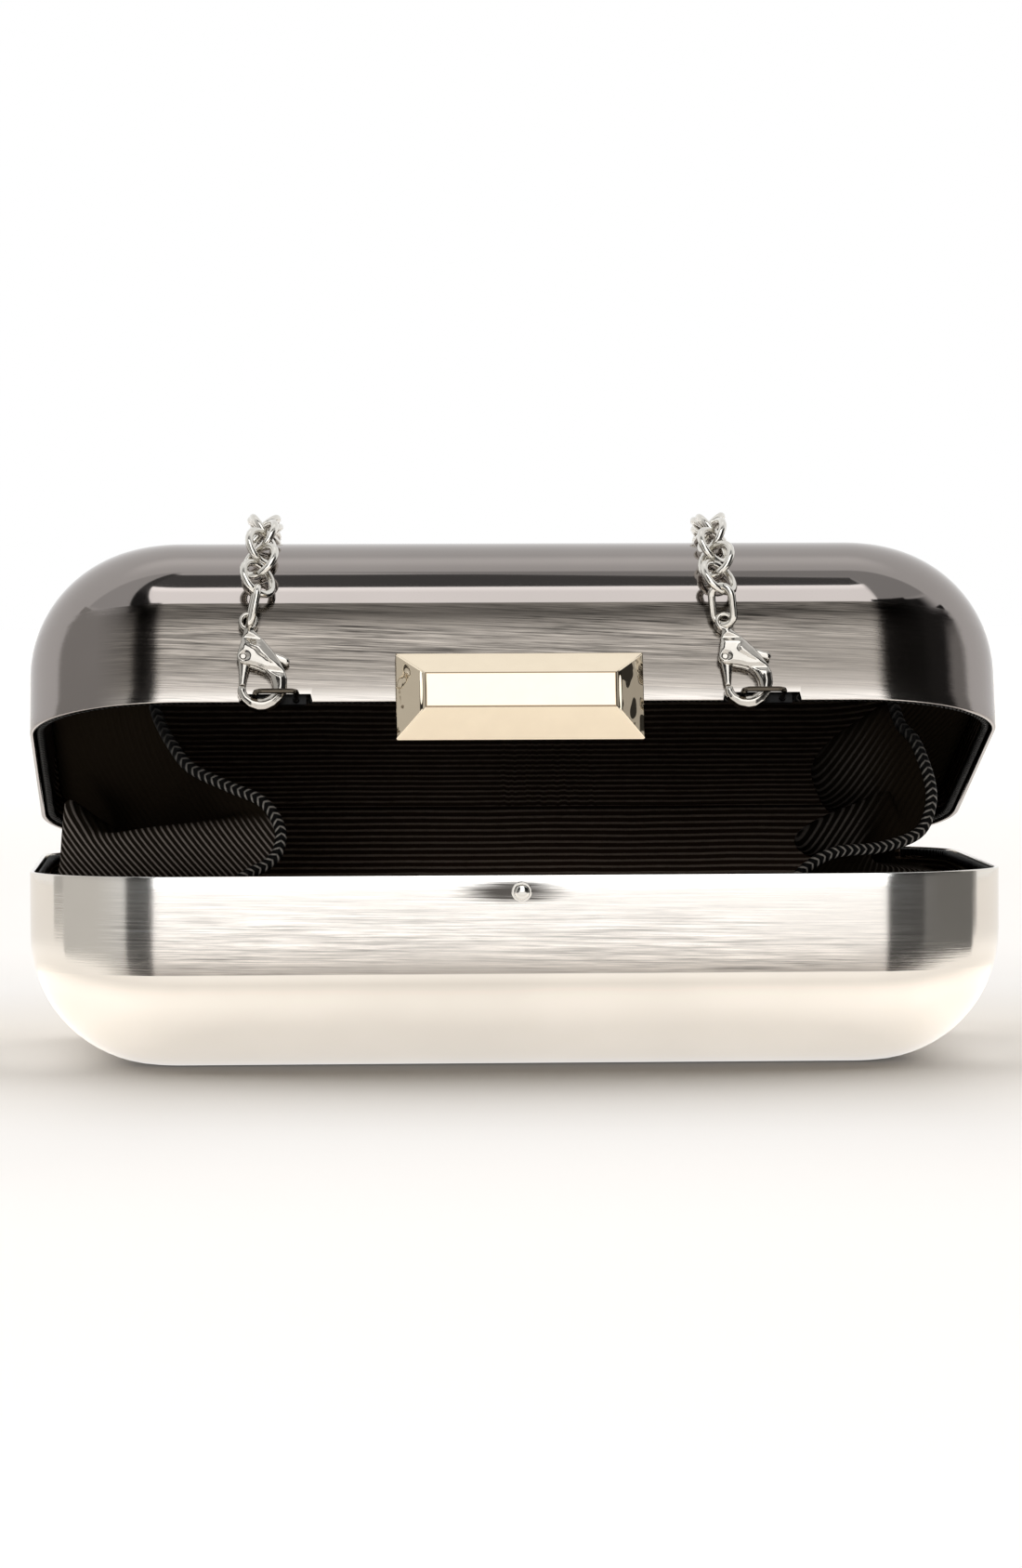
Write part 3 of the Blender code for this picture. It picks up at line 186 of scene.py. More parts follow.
class Look(Shade):
    """A material whose shader sockets are set by name."""

    def __init__(self, name, **sockets):
        self.material = bpy.data.materials.new(name)
        self.material.use_nodes = True
        super().__init__(self.material.node_tree)
        self.shader = self.tree.nodes["Principled BSDF"]
        self.set(**sockets)

    def set(self, **sockets):
        for name, value in sockets.items():
            self.plug(self.shader.inputs[name.replace("_", " ")], value)

    def bump(self, height, strength, distance):
        sockets = {"Height": height, "Strength": strength, "Distance": distance}
        self.set(Normal=self.node("ShaderNodeBump", {}, sockets))


BREAK_BLUR, GROOVE = 0.12 * MM, 0.03 * MM


def grey(value):
    """A grey, the warmer the darker."""
    return value * (1.13 - 0.11 * value), value, value * (0.87 + 0.1 * value)


def dimmed(colour, share):
    return tuple(part * share for part in colour)


def brushed_shell(name, polished, painted_reflection_ramp, wall_height, tilt, streaks, groove):
    """Metal brushed lengthwise on its wall and polished on its arcs.

    The wall's painted reflection ramp and the streaks' two strengths go from its rim to the break where the
    arcs begin.
    """
    look = Look(name, Metallic=1.0)
    along, fall, turn = look.attribute("along"), look.attribute("fall"), look.attribute("turn")
    slope = fall + along * tilt
    fine = look.noise(look.join(along * 70, slope * 3300, 0.0), detail=3, roughness=0.7)
    broad = look.noise(look.join(along * 32, slope * 1250, 3.0), detail=3, roughness=0.6)
    patch = look.noise(look.join(along * 16, fall * 70, 5.0), detail=2)
    streak = (fine - 0.5) * 4.6 + (broad - 0.5) * 2.4
    depth = fall * (1 / wall_height)
    at_rim, at_break = streaks
    strength = (depth.step(0.05, 0.75) * (at_break - at_rim) + at_rim) * (patch.step(0.35, 0.6) * 0.6 + 0.4)
    light = (streak * strength + 1).most(0.2)
    wall = fall.step(wall_height + BREAK_BLUR, wall_height - BREAK_BLUR)
    front = turn.bounce(90.0).step(36, 14) * wall
    cloud = look.noise(look.where(), scale=30)
    smooth = cloud.step(0.35, 0.7).mix(dimmed(polished, 0.94), polished)
    # Painted reflection: the wall's colour ramps from light at the rim to dark at the break, times its
    # brushed streaks
    brushed = (depth + streak * 0.03).ramp(painted_reflection_ramp).times(light)
    look.set(Base_Color=front.mix(smooth, brushed))
    look.set(Roughness=wall * 0.05 + 0.05 + (fine - 0.5) * 0.05 + cloud * 0.03)
    look.bump(streak * wall, groove, GROOVE)
    return look, streak


def nickel_shell():
    """The lower shell's metal, worn dark round the catch stud."""
    # Painted reflection: near white at the rim, darker towards the break
    painted_reflection_ramp = [(0.0, grey(0.985)), (0.15, grey(0.98)), (0.33, grey(0.91)), (0.55, grey(0.85)),
              (0.7, grey(0.77)), (0.87, grey(0.6)), (0.97, grey(0.42)), (1.0, grey(0.36))]
    look, streak = brushed_shell("nickel_brushed", (0.81, 0.765, 0.7), painted_reflection_ramp, LOWER_BREAK, -0.012,
                                 (0.08, 0.55), 0.06)
    x, y, z = look.where().split()
    drop = z - STUD_Z
    left = x + 1.6 * MM
    wide = (left * left * 0.06 + drop * drop).root() + streak * (0.6 * MM)
    halo = wide.step(2.9 * MM, 0.8 * MM) * y.step(FRONT_Y + 0.3 * MM, FRONT_Y + 0.1 * MM)
    base = look.shader.inputs["Base Color"].links[0].from_socket
    look.set(Base_Color=(halo * 0.95).mix(Shade(look.tree, base), (0.05, 0.045, 0.04)))
    return look.material


def gunmetal_shell():
    # Painted reflection: light at the rim, dark towards the break
    painted_reflection_ramp = [(0.0, grey(0.6)), (0.05, grey(0.56)), (0.14, grey(0.33)), (0.33, grey(0.2)),
              (0.51, grey(0.195)), (0.7, grey(0.2)), (0.8, grey(0.13)), (0.89, grey(0.055)),
              (1.0, grey(0.06))]
    look, _ = brushed_shell("gunmetal_brushed", (0.33, 0.3, 0.285), painted_reflection_ramp, UPPER_BREAK, 0.045,
                            (0.35, 1.0), 0.13)
    return look.material


def plated(name, colour, roughness, cloudy=0.1):
    look = Look(name, Metallic=1.0)
    cloud = look.noise(look.where(), scale=260)
    look.set(Base_Color=cloud.step(0.3, 0.75).mix(dimmed(colour, 1 - cloudy), colour))
    look.set(Roughness=cloud * 0.06 + (roughness - 0.03))
    return look.material


def gold_bar():
    """Pale gold with painted shade in the seams round its front facet, and wavy on its end facets."""
    look = Look("pale_gold_mirror", Metallic=1.0)
    x, y, z = look.where().split()
    middle = opened((0, FRONT_Y - 5.4 * MM, BAR_Z))
    up = ((z - middle.z) * cos(OPENING) + (y - middle.y) * sin(OPENING)).size()
    past_side, past_top = x.size() - BAR_FLAT_WIDTH / 2, up - BAR_FLAT_HEIGHT / 2
    at_side = past_side.size().most(past_top)
    at_top = past_top.size().most(past_side)
    # Painted shade: dark brown along the seams round the front facet
    seam = look.math("MINIMUM", at_side, at_top).step(0.22 * MM, 0.08 * MM)
    wave = look.noise(look.join(x * 260, z * 150, 4.0), detail=1)
    at_end = past_side.step(0.4 * MM, 1.2 * MM) * (past_side - past_top * 1.05).step(0, 0.4 * MM)
    cloud = look.noise(look.where(), scale=260)
    plain = cloud.step(0.3, 0.75).mix((0.865, 0.75, 0.58), (0.89, 0.775, 0.6))
    look.set(Base_Color=(seam * 0.8).mix(plain, (0.13, 0.075, 0.035)), Roughness=cloud * 0.06 + 0.02)
    look.bump(wave * at_end, 0.8, 1.2 * MM)
    return look.material


def grosgrain(name, pitch, dark, pale_and_painted_sheen):
    """Black ribbed cloth: ribs across its attribute fall, painted sheen on rib tops, painted shade by its
    attribute lit.
    """
    look = Look(name, Specular_IOR_Level=0.0)
    along, fall, lit = look.attribute("along"), look.attribute("fall"), look.attribute("lit")
    wobble = look.noise(look.join(along * 40, fall * 60, 1.0), detail=2)
    across = fall + (wobble - 0.5) * pitch * 0.5
    rib = (across * (2 * pi / pitch)).sine() * 0.5 + 0.5
    thread = (along * (2 * pi / (0.3 * MM))).sine() * 0.5 + 0.5
    fuzz = look.noise(look.where(), scale=2600, detail=2)
    patch = look.noise(look.join(along * 260, fall * 900, 2.0), detail=2)
    # Painted sheen: rib tops lighter, mixed with threads, fuzz and patches that differ at random
    painted_sheen_and_tone = (rib + thread * 0.06 + fuzz * 0.2 + patch * 0.3 - 0.3).step(0.45, 1.0)
    # Painted shade: where the attribute lit is low the cloth goes near black
    look.set(Base_Color=lit.mix((0.01, 0.0075, 0.005), painted_sheen_and_tone.mix(dark, pale_and_painted_sheen)))
    look.set(Roughness=fuzz * 0.2 + 0.6)
    look.bump(rib + thread * 0.15 + fuzz * 0.1, 0.8, 0.22 * MM)
    return look.material


def braided(name, pitch, dark, pale_and_painted_sheen):
    """Black herringbone cord: slanted strands that meet along its length, with painted sheen and painted
    shade.
    """
    look = Look(name, Specular_IOR_Level=0.04)
    along, fold, lit = look.attribute("along"), look.attribute("fold"), look.attribute("lit")
    strand = ((along * (1 / pitch) + fold * 0.75) * (2 * pi)).sine() * 0.5 + 0.5
    seam = fold.bounce(0.5) * 2
    fuzz = look.noise(look.where(), scale=2400, detail=2)
    # Painted sheen on the strands and along the seam, mixed with fuzz that differs at random
    painted_sheen_and_tone = (strand * 0.85 + seam * 0.15 + fuzz * 0.2 - 0.1).step(0.58, 1.0)
    # Painted shade: the attribute lit darkens the cord
    look.set(Base_Color=(painted_sheen_and_tone * lit).mix(dark, pale_and_painted_sheen))
    look.set(Roughness=fuzz * 0.2 + 0.4)
    look.bump(strand + seam * 0.4, 0.9, 0.3 * MM)
    return look.material


def card():
    look = Look("grey_card", Specular_IOR_Level=0.2)
    fibre = look.noise(look.where(), scale=900, detail=4)
    look.set(Base_Color=fibre.mix((0.24, 0.22, 0.2), (0.4, 0.38, 0.34)), Roughness=fibre * 0.1 + 0.85)
    look.bump(fibre, 0.3, 0.1 * MM)
    return look.material


NICKEL = nickel_shell()
GUNMETAL = gunmetal_shell()
GOLD = gold_bar()
BRIGHT = plated("bright_nickel", (0.8, 0.78, 0.74), 0.09)
CLIP_METAL = plated("cast_nickel", (0.63, 0.6, 0.55), 0.14)
BAIL_METAL = plated("bail_wire", (0.13, 0.11, 0.085), 0.2)
CHAIN = plated("chain_nickel", (0.78, 0.755, 0.7), 0.07)
STEEL = plated("plain_steel", (0.42, 0.42, 0.42), 0.35)
BLACKENED = plated("blackened_steel", (0.02, 0.02, 0.02), 0.45)
HINGE_METAL = plated("hinge_nickel", (0.66, 0.62, 0.57), 0.25)
# Each cloth's second colour is its lighter threads' colour and its painted sheen
RIBBED = grosgrain("black_grosgrain", 1.05 * MM, (0.05, 0.031, 0.021), (0.36, 0.29, 0.24))
FAN = grosgrain("gusset_grosgrain", 1.0 * MM, (0.012, 0.01, 0.008), (0.3, 0.27, 0.25))
BRAID = braided("rim_braid", 1.0 * MM, (0.003, 0.003, 0.003), (0.05, 0.048, 0.045))
CORD = braided("gusset_cord", 1.3 * MM, (0.003, 0.003, 0.003), (0.27, 0.26, 0.245))
CARD = card()


# Mesh helpers


def in_mm(*place):
    return Vector([value * MM for value in place])


def shown(thing):
    """The object, now in the scene."""
    bpy.context.scene.collection.objects.link(thing)
    return thing


def linked(name, shape, material):
    """A bmesh as an object in the scene."""
    mesh = bpy.data.meshes.new(name)
    shape.to_mesh(mesh)
    shape.free()
    mesh.materials.append(material)
    return shown(bpy.data.objects.new(name, mesh))


def piece(name, shape, material, body=None, replaces=(), sharp=40):
    """A smooth object with sharp edges over an angle, riding on a body and standing for its nodes."""
    thing = linked(name, shape, material)
    thing.data.shade_smooth()
    thing.data.set_sharp_from_angle(angle=radians(sharp))
    if body:
        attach(thing, body)
    if replaces:
        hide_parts(*replaces)
    return thing


def drawn(shape, row, places, closed=True):
    """A row of corners extruded to its places, or a first row made there."""
    if not row:
        return [shape.verts.new(place) for place in places]
    pairs = zip(row, row[1:] + row[:1]) if closed else zip(row, row[1:])
    edges = [shape.edges.get(pair) or shape.edges.new(pair) for pair in pairs]
    made = bmesh.ops.extrude_edge_only(shape, edges=edges)["geom"]
    fresh = {part for part in made if isinstance(part, bmesh.types.BMVert)}
    row = [next(edge.other_vert(corner) for edge in corner.link_edges if edge.other_vert(corner) in fresh)
           for corner in row]
    for corner, place in zip(row, places):
        corner.co = place
    return row


def through(knots, at):
    """The value at a place of a smooth curve through (place, value, ...) knots."""
    places = [knot[0] for knot in knots]
    at = min(max(at, places[0]), places[-1])
    k = min(max(sum(place <= at for place in places) - 1, 0), len(knots) - 2)
    before, after = knots[max(k - 1, 0)], knots[min(k + 2, len(knots) - 1)]
    low, high = knots[k], knots[k + 1]
    span = high[0] - low[0]
    t = (at - low[0]) / span
    values = []
    for n in range(1, len(low)):
        slope_low = (high[n] - before[n]) / (high[0] - before[0]) * span
        slope_high = (after[n] - low[n]) / (after[0] - low[0]) * span
        values.append((2 * t**3 - 3 * t**2 + 1) * low[n] + (t**3 - 2 * t**2 + t) * slope_low
                      + (3 * t**2 - 2 * t**3) * high[n] + (t**3 - t**2) * slope_high)
    return values


def smooth_route(points, step):
    """Points about a step apart on a smooth curve through the route's own points."""
    knots = [(k, *point) for k, point in enumerate(points)]
    return evenly([Vector(through(knots, k / 16)) for k in range(16 * len(knots) - 15)], step)


def runs_of(points):
    """How far along a line of points each of them is."""
    return np.cumsum([0.0] + [dist(a, b) for a, b in zip(points, points[1:])])


def total(points):
    return float(runs_of(points)[-1])


def place_at(points, runs, run):
    """The place at a run along a line of points, and the number of the next point."""
    n = int(np.searchsorted(runs, run).clip(1, len(points) - 1))
    return points[n - 1].lerp(points[n], (run - runs[n - 1]) / (runs[n] - runs[n - 1])), n


def evenly(points, step):
    """Points about a step apart along a line of many points."""
    runs = runs_of(points)
    count = max(2, round(runs[-1] / step))
    return [place_at(points, runs, run)[0] for run in np.linspace(0, runs[-1], count + 1)]


def frames_along(points, side=Vector((0, 0, 1))):
    """Tangent, normal and binormal at each point, turned as little as the route allows."""
    frames = []
    count = len(points)
    normal = side
    for k in range(count):
        tangent = (points[min(k + 1, count - 1)] - points[max(k - 1, 0)]).normalized()
        normal = normal - tangent * normal.dot(tangent)
        if normal.length < 1e-6:
            normal = tangent.orthogonal()
        normal.normalize()
        frames.append((tangent, normal, tangent.cross(normal)))
    return frames


def tube(name, points, radius, material, body=None, replaces=(), sides=16, side=Vector((0, 0, 1)),
         light=None):
    """A round cord along a route, with the attributes that its braid follows."""
    shape = bmesh.new()
    along, fold, lit = [shape.verts.layers.float.new(label) for label in ("along", "fold", "lit")]
    row = []
    turns = [2 * pi * n / sides for n in range(sides)]
    for point, run, (_, normal, other) in zip(points, runs_of(points), frames_along(points, side)):
        places = [point + normal * (radius * cos(turn)) + other * (radius * sin(turn))
                  for turn in turns]
        row = drawn(shape, row, places)
        for n, corner in enumerate(row):
            corner[along] = run
            corner[fold] = 1 - abs(4 * n / sides % 2 - 1)
            corner[lit] = light(point) if light else 1.0
    bmesh.ops.holes_fill(shape, edges=shape.edges)
    bmesh.ops.recalc_face_normals(shape, faces=shape.faces)
    return piece(name, shape, material, body, replaces, 60)


# The two shells and their linings

BACK_PLACE, FRONT_REACH = 20 * MM, 60.8 * MM
RIM_ROUND, TINY = 0.25 * MM, 0.01 * MM
NOTCH_DEPTH, NOTCH_SLOPE = 1.5 * MM, 0.3 * MM
BAIL_X = 44.016 * MM
LEFT_NOTCH, RIGHT_NOTCH, CLOTH_NOTCH = 6.3 * MM, 6.8 * MM, 5.9 * MM
LINING_INSET, LINING = 1.7 * MM, 0.7 * MM
LINING_FLAT, LINING_STOP = WALL + 1.4 * MM, 2.05 * MM
BRAID_RADIUS, BRAID_DROP = 0.75 * MM, 1 * MM
BRAID_INSET = WALL + 0.3 * MM + BRAID_RADIUS
BRAID_STOP = 5.8 * MM
LIT_BELOW, LIT_FADE = 58 * MM, 26 * MM
CORD_LIT_BELOW, CORD_LIT_FADE = 61 * MM, 12 * MM


def bend(inset_x, inset_y, turns):
    """Plan places inside a back corner of the case, turned from its end towards its back."""
    return [(CASE_WIDTH / 2 - CORNER_X + (CORNER_X - inset_x) * cos(turn),
             CASE_DEPTH / 2 - CORNER_Y + (CORNER_Y - inset_y) * sin(turn)) for turn in turns]


def plan_ring(inset_x, inset_y, front_places, segments=24):
    """The case's plan from the middle of its back, anticlockwise, with extra places on its front."""
    back_y = CASE_DEPTH / 2 - inset_y
    corner = bend(inset_x, inset_y, [pi / 2 * k / segments for k in range(segments + 1)])
    ring = [(x, back_y) for x in (0, -BACK_PLACE, -2 * BACK_PLACE)]
    ring += [(-x, y) for x, y in reversed(corner)] + [(-x, -y) for x, y in corner]
    ring += [(x, -back_y) for x in front_places]
    ring += [(x, -y) for x, y in reversed(corner)] + corner
    return ring + [(x, back_y) for x in (2 * BACK_PLACE, BACK_PLACE)]


def level(inset, depth, front_places):
    """The plan of a half at a depth from its flat, for a skin at an inset from the outer face."""
    insets = [edge - sqrt(max((edge - inset) ** 2 - (edge - inset - min(depth, edge - inset)) ** 2, 0))
              for edge in (END_EDGE, FRONT_EDGE)]
    return plan_ring(*insets, front_places)


def lit_at(point):
    """How much painted light the lining gets at a place, the rest painted shade: most low down, just over the
    front rim.
    """
    return 0.3 + 0.7 * min(1.0, max(0.0, (LIT_BELOW - point.z) / LIT_FADE)) ** 1.4


def cord_light(point):
    """Painted shade: the gussets' cords fade into the dark towards the lid."""
    return 0.08 + 0.92 * min(1.0, max(0.0, (CORD_LIT_BELOW - point.z) / CORD_LIT_FADE))


def plan_turn(x, y):
    """Degrees that the wall at a plan place faces away from the front."""
    over_x = max(abs(x) - CASE_WIDTH / 2 + CORNER_X, 0) / CORNER_X
    over_y = max(abs(y) - CASE_DEPTH / 2 + CORNER_Y, 0) / CORNER_Y
    turn = degrees(atan2(over_x, max(over_y, 1e-6)))
    return turn if y < 0 else 180 - turn


def skins_of(inset, height, thickness, levels):
    """Pairs of inset and depth: from the flat up the outer skin, over the rim and down the inner skin."""
    straight = height - RIM_ROUND
    depths = sorted({END_EDGE * (1 - cos(pi / 2 * k / levels)) for k in range(levels + 1)}
                    | {FRONT_EDGE, FRONT_EDGE - 5 * TINY, FRONT_EDGE * 1.05}
                    | {END_EDGE + (height - END_EDGE) * k / 4 for k in range(1, 4)})
    depths = [depth for depth in depths if depth < straight - TINY]
    rounds = [(RIM_ROUND * (1 - cos(t)), straight + RIM_ROUND * sin(t))
              for t in [pi / 2 * k / 4 for k in range(5)]]
    outer = [(inset, depth) for depth in depths] + [(inset + over, depth) for over, depth in rounds]
    inner = [(inset + thickness, depth + thickness) for depth in depths if depth + thickness < straight]
    inner += [(inset + thickness - over, depth) for over, depth in rounds]
    return outer + inner[::-1]


def bowl(name, inset, floor_inset, height, thickness, material, body, replaces, notches=(), levels=18):
    """A closed half of the case: its outer skin, a rounded rim and its inner skin."""
    lid = body == "lid"
    places = set(np.linspace(-FRONT_REACH, FRONT_REACH, 32).round(6))
    for x, half in notches:
        places |= {x - half - NOTCH_SLOPE, x - half, x + half, x + half + NOTCH_SLOPE}
    places = sorted(places)
    outline = level(inset, height, places)
    runs = runs_of(outline)
    shape = bmesh.new()
    layers = [shape.verts.layers.float.new(label) for label in ("along", "fall", "turn", "lit")]
    row = []
    for this_inset, depth in skins_of(inset, height, thickness, levels):
        points = []
        for x, y in level(this_inset, depth - (this_inset - inset), places):
            rise = depth
            if y < 0 and any(abs(x - notch) < half + NOTCH_SLOPE / 3 for notch, half in notches):
                cut = height - NOTCH_DEPTH
                rise = min(rise, cut + (rise - cut) * 0.01)
            rise += floor_inset
            points.append(opened((x, y, LID_TOP_Z - rise)) if lid else Vector((x, y, rise)))
        row = drawn(shape, row, points)
        for corner, point, (x, y), run in zip(row, points, outline, runs):
            for layer, value in zip(layers, (run, height - depth, plan_turn(x, y), lit_at(point))):
                corner[layer] = value
    bmesh.ops.holes_fill(shape, edges=shape.edges)
    bmesh.ops.recalc_face_normals(shape, faces=shape.faces)
    piece(name, shape, material, body, replaces, 30)


for name, height, shell, body, notches in (
    ("lower", LOWER_HEIGHT, NICKEL, "base", ((), ())),
    ("upper", UPPER_HEIGHT, GUNMETAL, "lid",
     (((-BAIL_X, LEFT_NOTCH), (BAIL_X, RIGHT_NOTCH)), ((-BAIL_X, CLOTH_NOTCH), (BAIL_X, CLOTH_NOTCH)))),
):
    bowl(f"{name}_case", 0, 0, height, WALL, shell, body, [f"{name}_shell"], notches[0])
    bowl(f"{name}_cloth", LINING_INSET, LINING_FLAT, height - LINING_FLAT - LINING_STOP, LINING, RIBBED, body,
         [f"{name}_lining"], notches[1], levels=10)


def rim_points(z, stop_x=0.0):
    """The braid's route inside a rim: closed, or open between -stop_x and stop_x on the front."""
    ring = plan_ring(BRAID_INSET, BRAID_INSET, [x * MM for x in range(-55, 56, 5)], segments=10)
    points = [Vector((x, y, z)) for x, y in ring]
    if not stop_x:
        return points + points[:1]
    front_y = min(p.y for p in points)
    back = [p for p in points if p.y > 0 or abs(p.x) >= stop_x]
    cut = max(range(len(back)), key=lambda k: (back[k] - back[k - 1]).length)
    return [Vector((stop_x, front_y, z)), *back[cut:], *back[:cut], Vector((-stop_x, front_y, z))]


def rim_braids():
    lid_z, stop = LID_RIM_Z + BRAID_DROP, BAIL_X - BRAID_STOP
    around = [opened(p) for p in rim_points(lid_z, BAIL_X + BRAID_STOP)]
    across = [opened((x, FRONT_Y + BRAID_INSET, lid_z)) for x in np.linspace(-stop, stop, 12)]
    tube("lower_braid", rim_points(RIM_Z - BRAID_DROP), BRAID_RADIUS, BRAID, "base", ["lower_rim_braid"])
    tube("upper_braid", around, BRAID_RADIUS, BRAID, "lid", ["upper_rim_braid"])
    tube("upper_braid_front", across, BRAID_RADIUS, BRAID, "lid", ["upper_rim_braid_front"])


rim_braids()


# The gussets and the cloth over the hinge

GUSSET = 0.7 * MM
GUSSET_INSET, GUSSET_BELOW_RIM = 3.9 * MM, 4.5 * MM
GUSSET_FOOT_X, GUSSET_HEAD_X = 50 * MM, 66 * MM
RAIL_START = 1 * MM
CORD_RADIUS, CORD_STEP, EDGE_STEP = 1.05 * MM, 0.8 * MM, 0.3 * MM
RIPPLE, RIB_WANDER, BOW_Z = 0.5 * MM, 0.6 * MM, 45 * MM


def end_rail(z, side, front_x, lid, count):
    """Points along the inside of an end of the case, from its front to round the back corner."""
    end_x, front_y = CASE_WIDTH / 2 - GUSSET_INSET, FRONT_Y + GUSSET_INSET
    bend_x, bend_y = CASE_WIDTH / 2 - CORNER_X, CASE_DEPTH / 2 - CORNER_Y
    start = acos(min(max(front_x + 2 * RAIL_START - bend_x, 0) / (CORNER_X - GUSSET_INSET), 0.9))
    front = bend(GUSSET_INSET, GUSSET_INSET, [start * (12 - k) / 12 for k in range(1, 13)])
    back = bend(GUSSET_INSET, GUSSET_INSET, [radians(10 * k) for k in range(1, 6)])
    plan = [(front_x, front_y), (max(front_x + RAIL_START, bend_x), front_y), *((x, -y) for x, y in front)]
    plan += [(end_x, y) for y in np.linspace(4 * RAIL_START - bend_y, bend_y, 8)]
    plan = [Vector((x, y, z)) for x, y in plan + back]
    plan = evenly(plan, total(plan) / count)[: count + 1]
    if lid:
        plan = [opened(p) for p in plan]
    return [Vector((side * p.x, p.y, p.z)) for p in plan]


def draped(name, columns, rows, place, material, thickness, replaces):
    """A cloth: a grid whose corners go where place says, with the attributes that its ribs follow."""
    shape = bmesh.new()
    layers = [shape.verts.layers.float.new(label) for label in ("along", "fall", "lit")]
    bmesh.ops.create_grid(shape, x_segments=columns, y_segments=rows, size=0.5)
    for corner in shape.verts:
        point, *values = place(corner.co.x + 0.5, corner.co.y + 0.5)
        corner.co = point
        for layer, value in zip(layers, values):
            corner[layer] = value
    cloth = piece(name, shape, material, None, replaces, 180)
    skin = cloth.modifiers.new("thickness", "SOLIDIFY")
    skin.thickness = thickness
    skin.offset = 0
    return cloth


def gusset(side, sign, edge_route, fold_line, profile, lights, grain, crest_lift):
    """A cloth fan: its front edge follows a corded route, its foot and head the ends of the two halves.

    Between them it goes towards a fold line, as far as the profile says at each height.
    The lights are its painted light and shade up the cloth and along it. The grain is how its ribs run across
    and up, and how they bow.
    """
    columns, rows = 64, 56
    lower = end_rail(RIM_Z - GUSSET_BELOW_RIM, sign, GUSSET_FOOT_X, False, columns)
    upper = end_rail(LID_RIM_Z + GUSSET_BELOW_RIM, sign, GUSSET_HEAD_X, True, columns)
    edge_route = [in_mm(*place) for place in edge_route]
    edge = smooth_route(edge_route, EDGE_STEP)
    edge = evenly(edge, total(edge) / rows)[: rows + 1]

    def place(share, t):
        fade = max(0.0, 1 - share / 0.16)
        fade = fade * fade * (3 - 2 * fade)
        fold = Vector(through(fold_line, share)) * MM
        reach, rise = through(profile, t)
        rise += (through(crest_lift, share)[0] - 1) * rise * max(0.0, 1 - abs(t - 0.3) / 0.3)
        k = min(round(share * columns), len(lower) - 1, len(upper) - 1)
        point = lower[k].lerp(upper[k], rise)
        reach *= min(1.0, (1 - share) / 0.12)
        point.x += (fold.x - point.x) * reach
        point.y += (fold.y - point.y) * reach + RIPPLE * sin(21 * share + 9 * t) * reach
        point = point.lerp(edge[min(round(t * rows), len(edge) - 1)], fade)
        across, up, bow = grain
        along = point.x * up - point.z * across
        fall = point.x * across + point.z * up - bow * (point.z - BOW_Z) ** 2
        fall += RIB_WANDER * sin(70 * point.y + 30 * point.x)
        return point, along, fall, max(0.0, through(lights[0], t)[0] * through(lights[1], share)[0])

    cloth = draped(f"{side}_fan", columns, rows, place, FAN, GUSSET, [f"{side}_gusset"])
    cord = tube(f"{side}_fan_cord_cover", smooth_route(edge_route, CORD_STEP), CORD_RADIUS, CORD, None,
                [f"{side}_gusset_cord"], side=Vector((0, -1, 0)), light=cord_light)
    for thing in (cloth, cord):
        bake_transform(thing)


# The routes of the gussets' corded edges in mm, from the lower half's rim up to the lid's
LEFT_EDGE = [
    (-54.5, -43.2, 31.2), (-49.7, -43.4, 35.3), (-45.9, -43.4, 37.3), (-43.7, -43.2, 39.8),
    (-43.4, -42.8, 44), (-46.4, -42.2, 48.6), (-52.6, -41.4, 51.4), (-59.3, -40.6, 54.7),
    (-62.7, -39.6, 58.9), (-65.3, -38.4, 63.9), (-66.5, -37.4, 69),
]
RIGHT_EDGE = [
    (48, -43.4, 32.2), (52.1, -43.4, 36.4), (57.2, -43, 39), (65.6, -41.6, 39.8), (72.7, -40, 42.3),
    (75, -39.2, 47.3), (74.7, -38.8, 52.2), (72.2, -38.6, 58.9), (69.5, -38.2, 62.2), (67.5, -37.4, 69),
]
# Each fold line: share of the rail, then its plan place in mm
LEFT_FOLD = [(0, -52, -30), (0.2, -62, -27), (0.4, -70, -20), (0.6, -73, 0), (0.8, -73, 20), (1, -74, 34)]
RIGHT_FOLD = [(0, 70, -34), (0.18, 63, -27), (0.36, 56, -13), (0.55, 55, 5), (0.8, 62, 24), (1, 73, 35)]
# Each profile: place up the cloth, its share of the way to the fold line, its share of the height
LEFT_PROFILE = [(0, 0, 0), (0.1, 0.1, 0.12), (0.24, 0.14, 0.25), (0.33, 0.2, 0.325), (0.38, 0.34, 0.335),
                (0.46, 0.75, 0.29), (0.55, 1.0, 0.34), (0.75, 0.85, 0.58), (0.9, 0.4, 0.82), (1, 0, 1)]
RIGHT_PROFILE = [(0, 0, 0), (0.08, 0.25, 0.09), (0.18, 0.85, 0.17), (0.28, 1.0, 0.31),
                 (0.38, 0.82, 0.46), (0.44, 0.55, 0.51), (0.5, 0.52, 0.46), (0.58, 0.7, 0.5),
                 (0.68, 0.86, 0.66), (0.86, 0.8, 0.92), (1, 0, 1)]
# The painted light and shade on each cloth: up the cloth, and from its cord to its far end
LEFT_LIGHTS = ([(0, 0.35), (0.1, 0.5), (0.3, 0.58), (0.35, 0.35), (0.38, 0.01), (0.8, 0.004), (1, 0)],
               [(0, 1), (0.4, 1), (1, 0.35)])
RIGHT_LIGHTS = ([(0, 0.1), (0.1, 0.2), (0.25, 0.4), (0.38, 0.25), (0.45, 0.01), (0.56, 0.12), (0.68, 0.2),
                 (0.8, 0.06), (0.9, 0), (1, 0)],
                [(0, 0), (0.09, 0.02), (0.22, 1), (0.6, 1), (0.8, 0.05), (1, 0)])
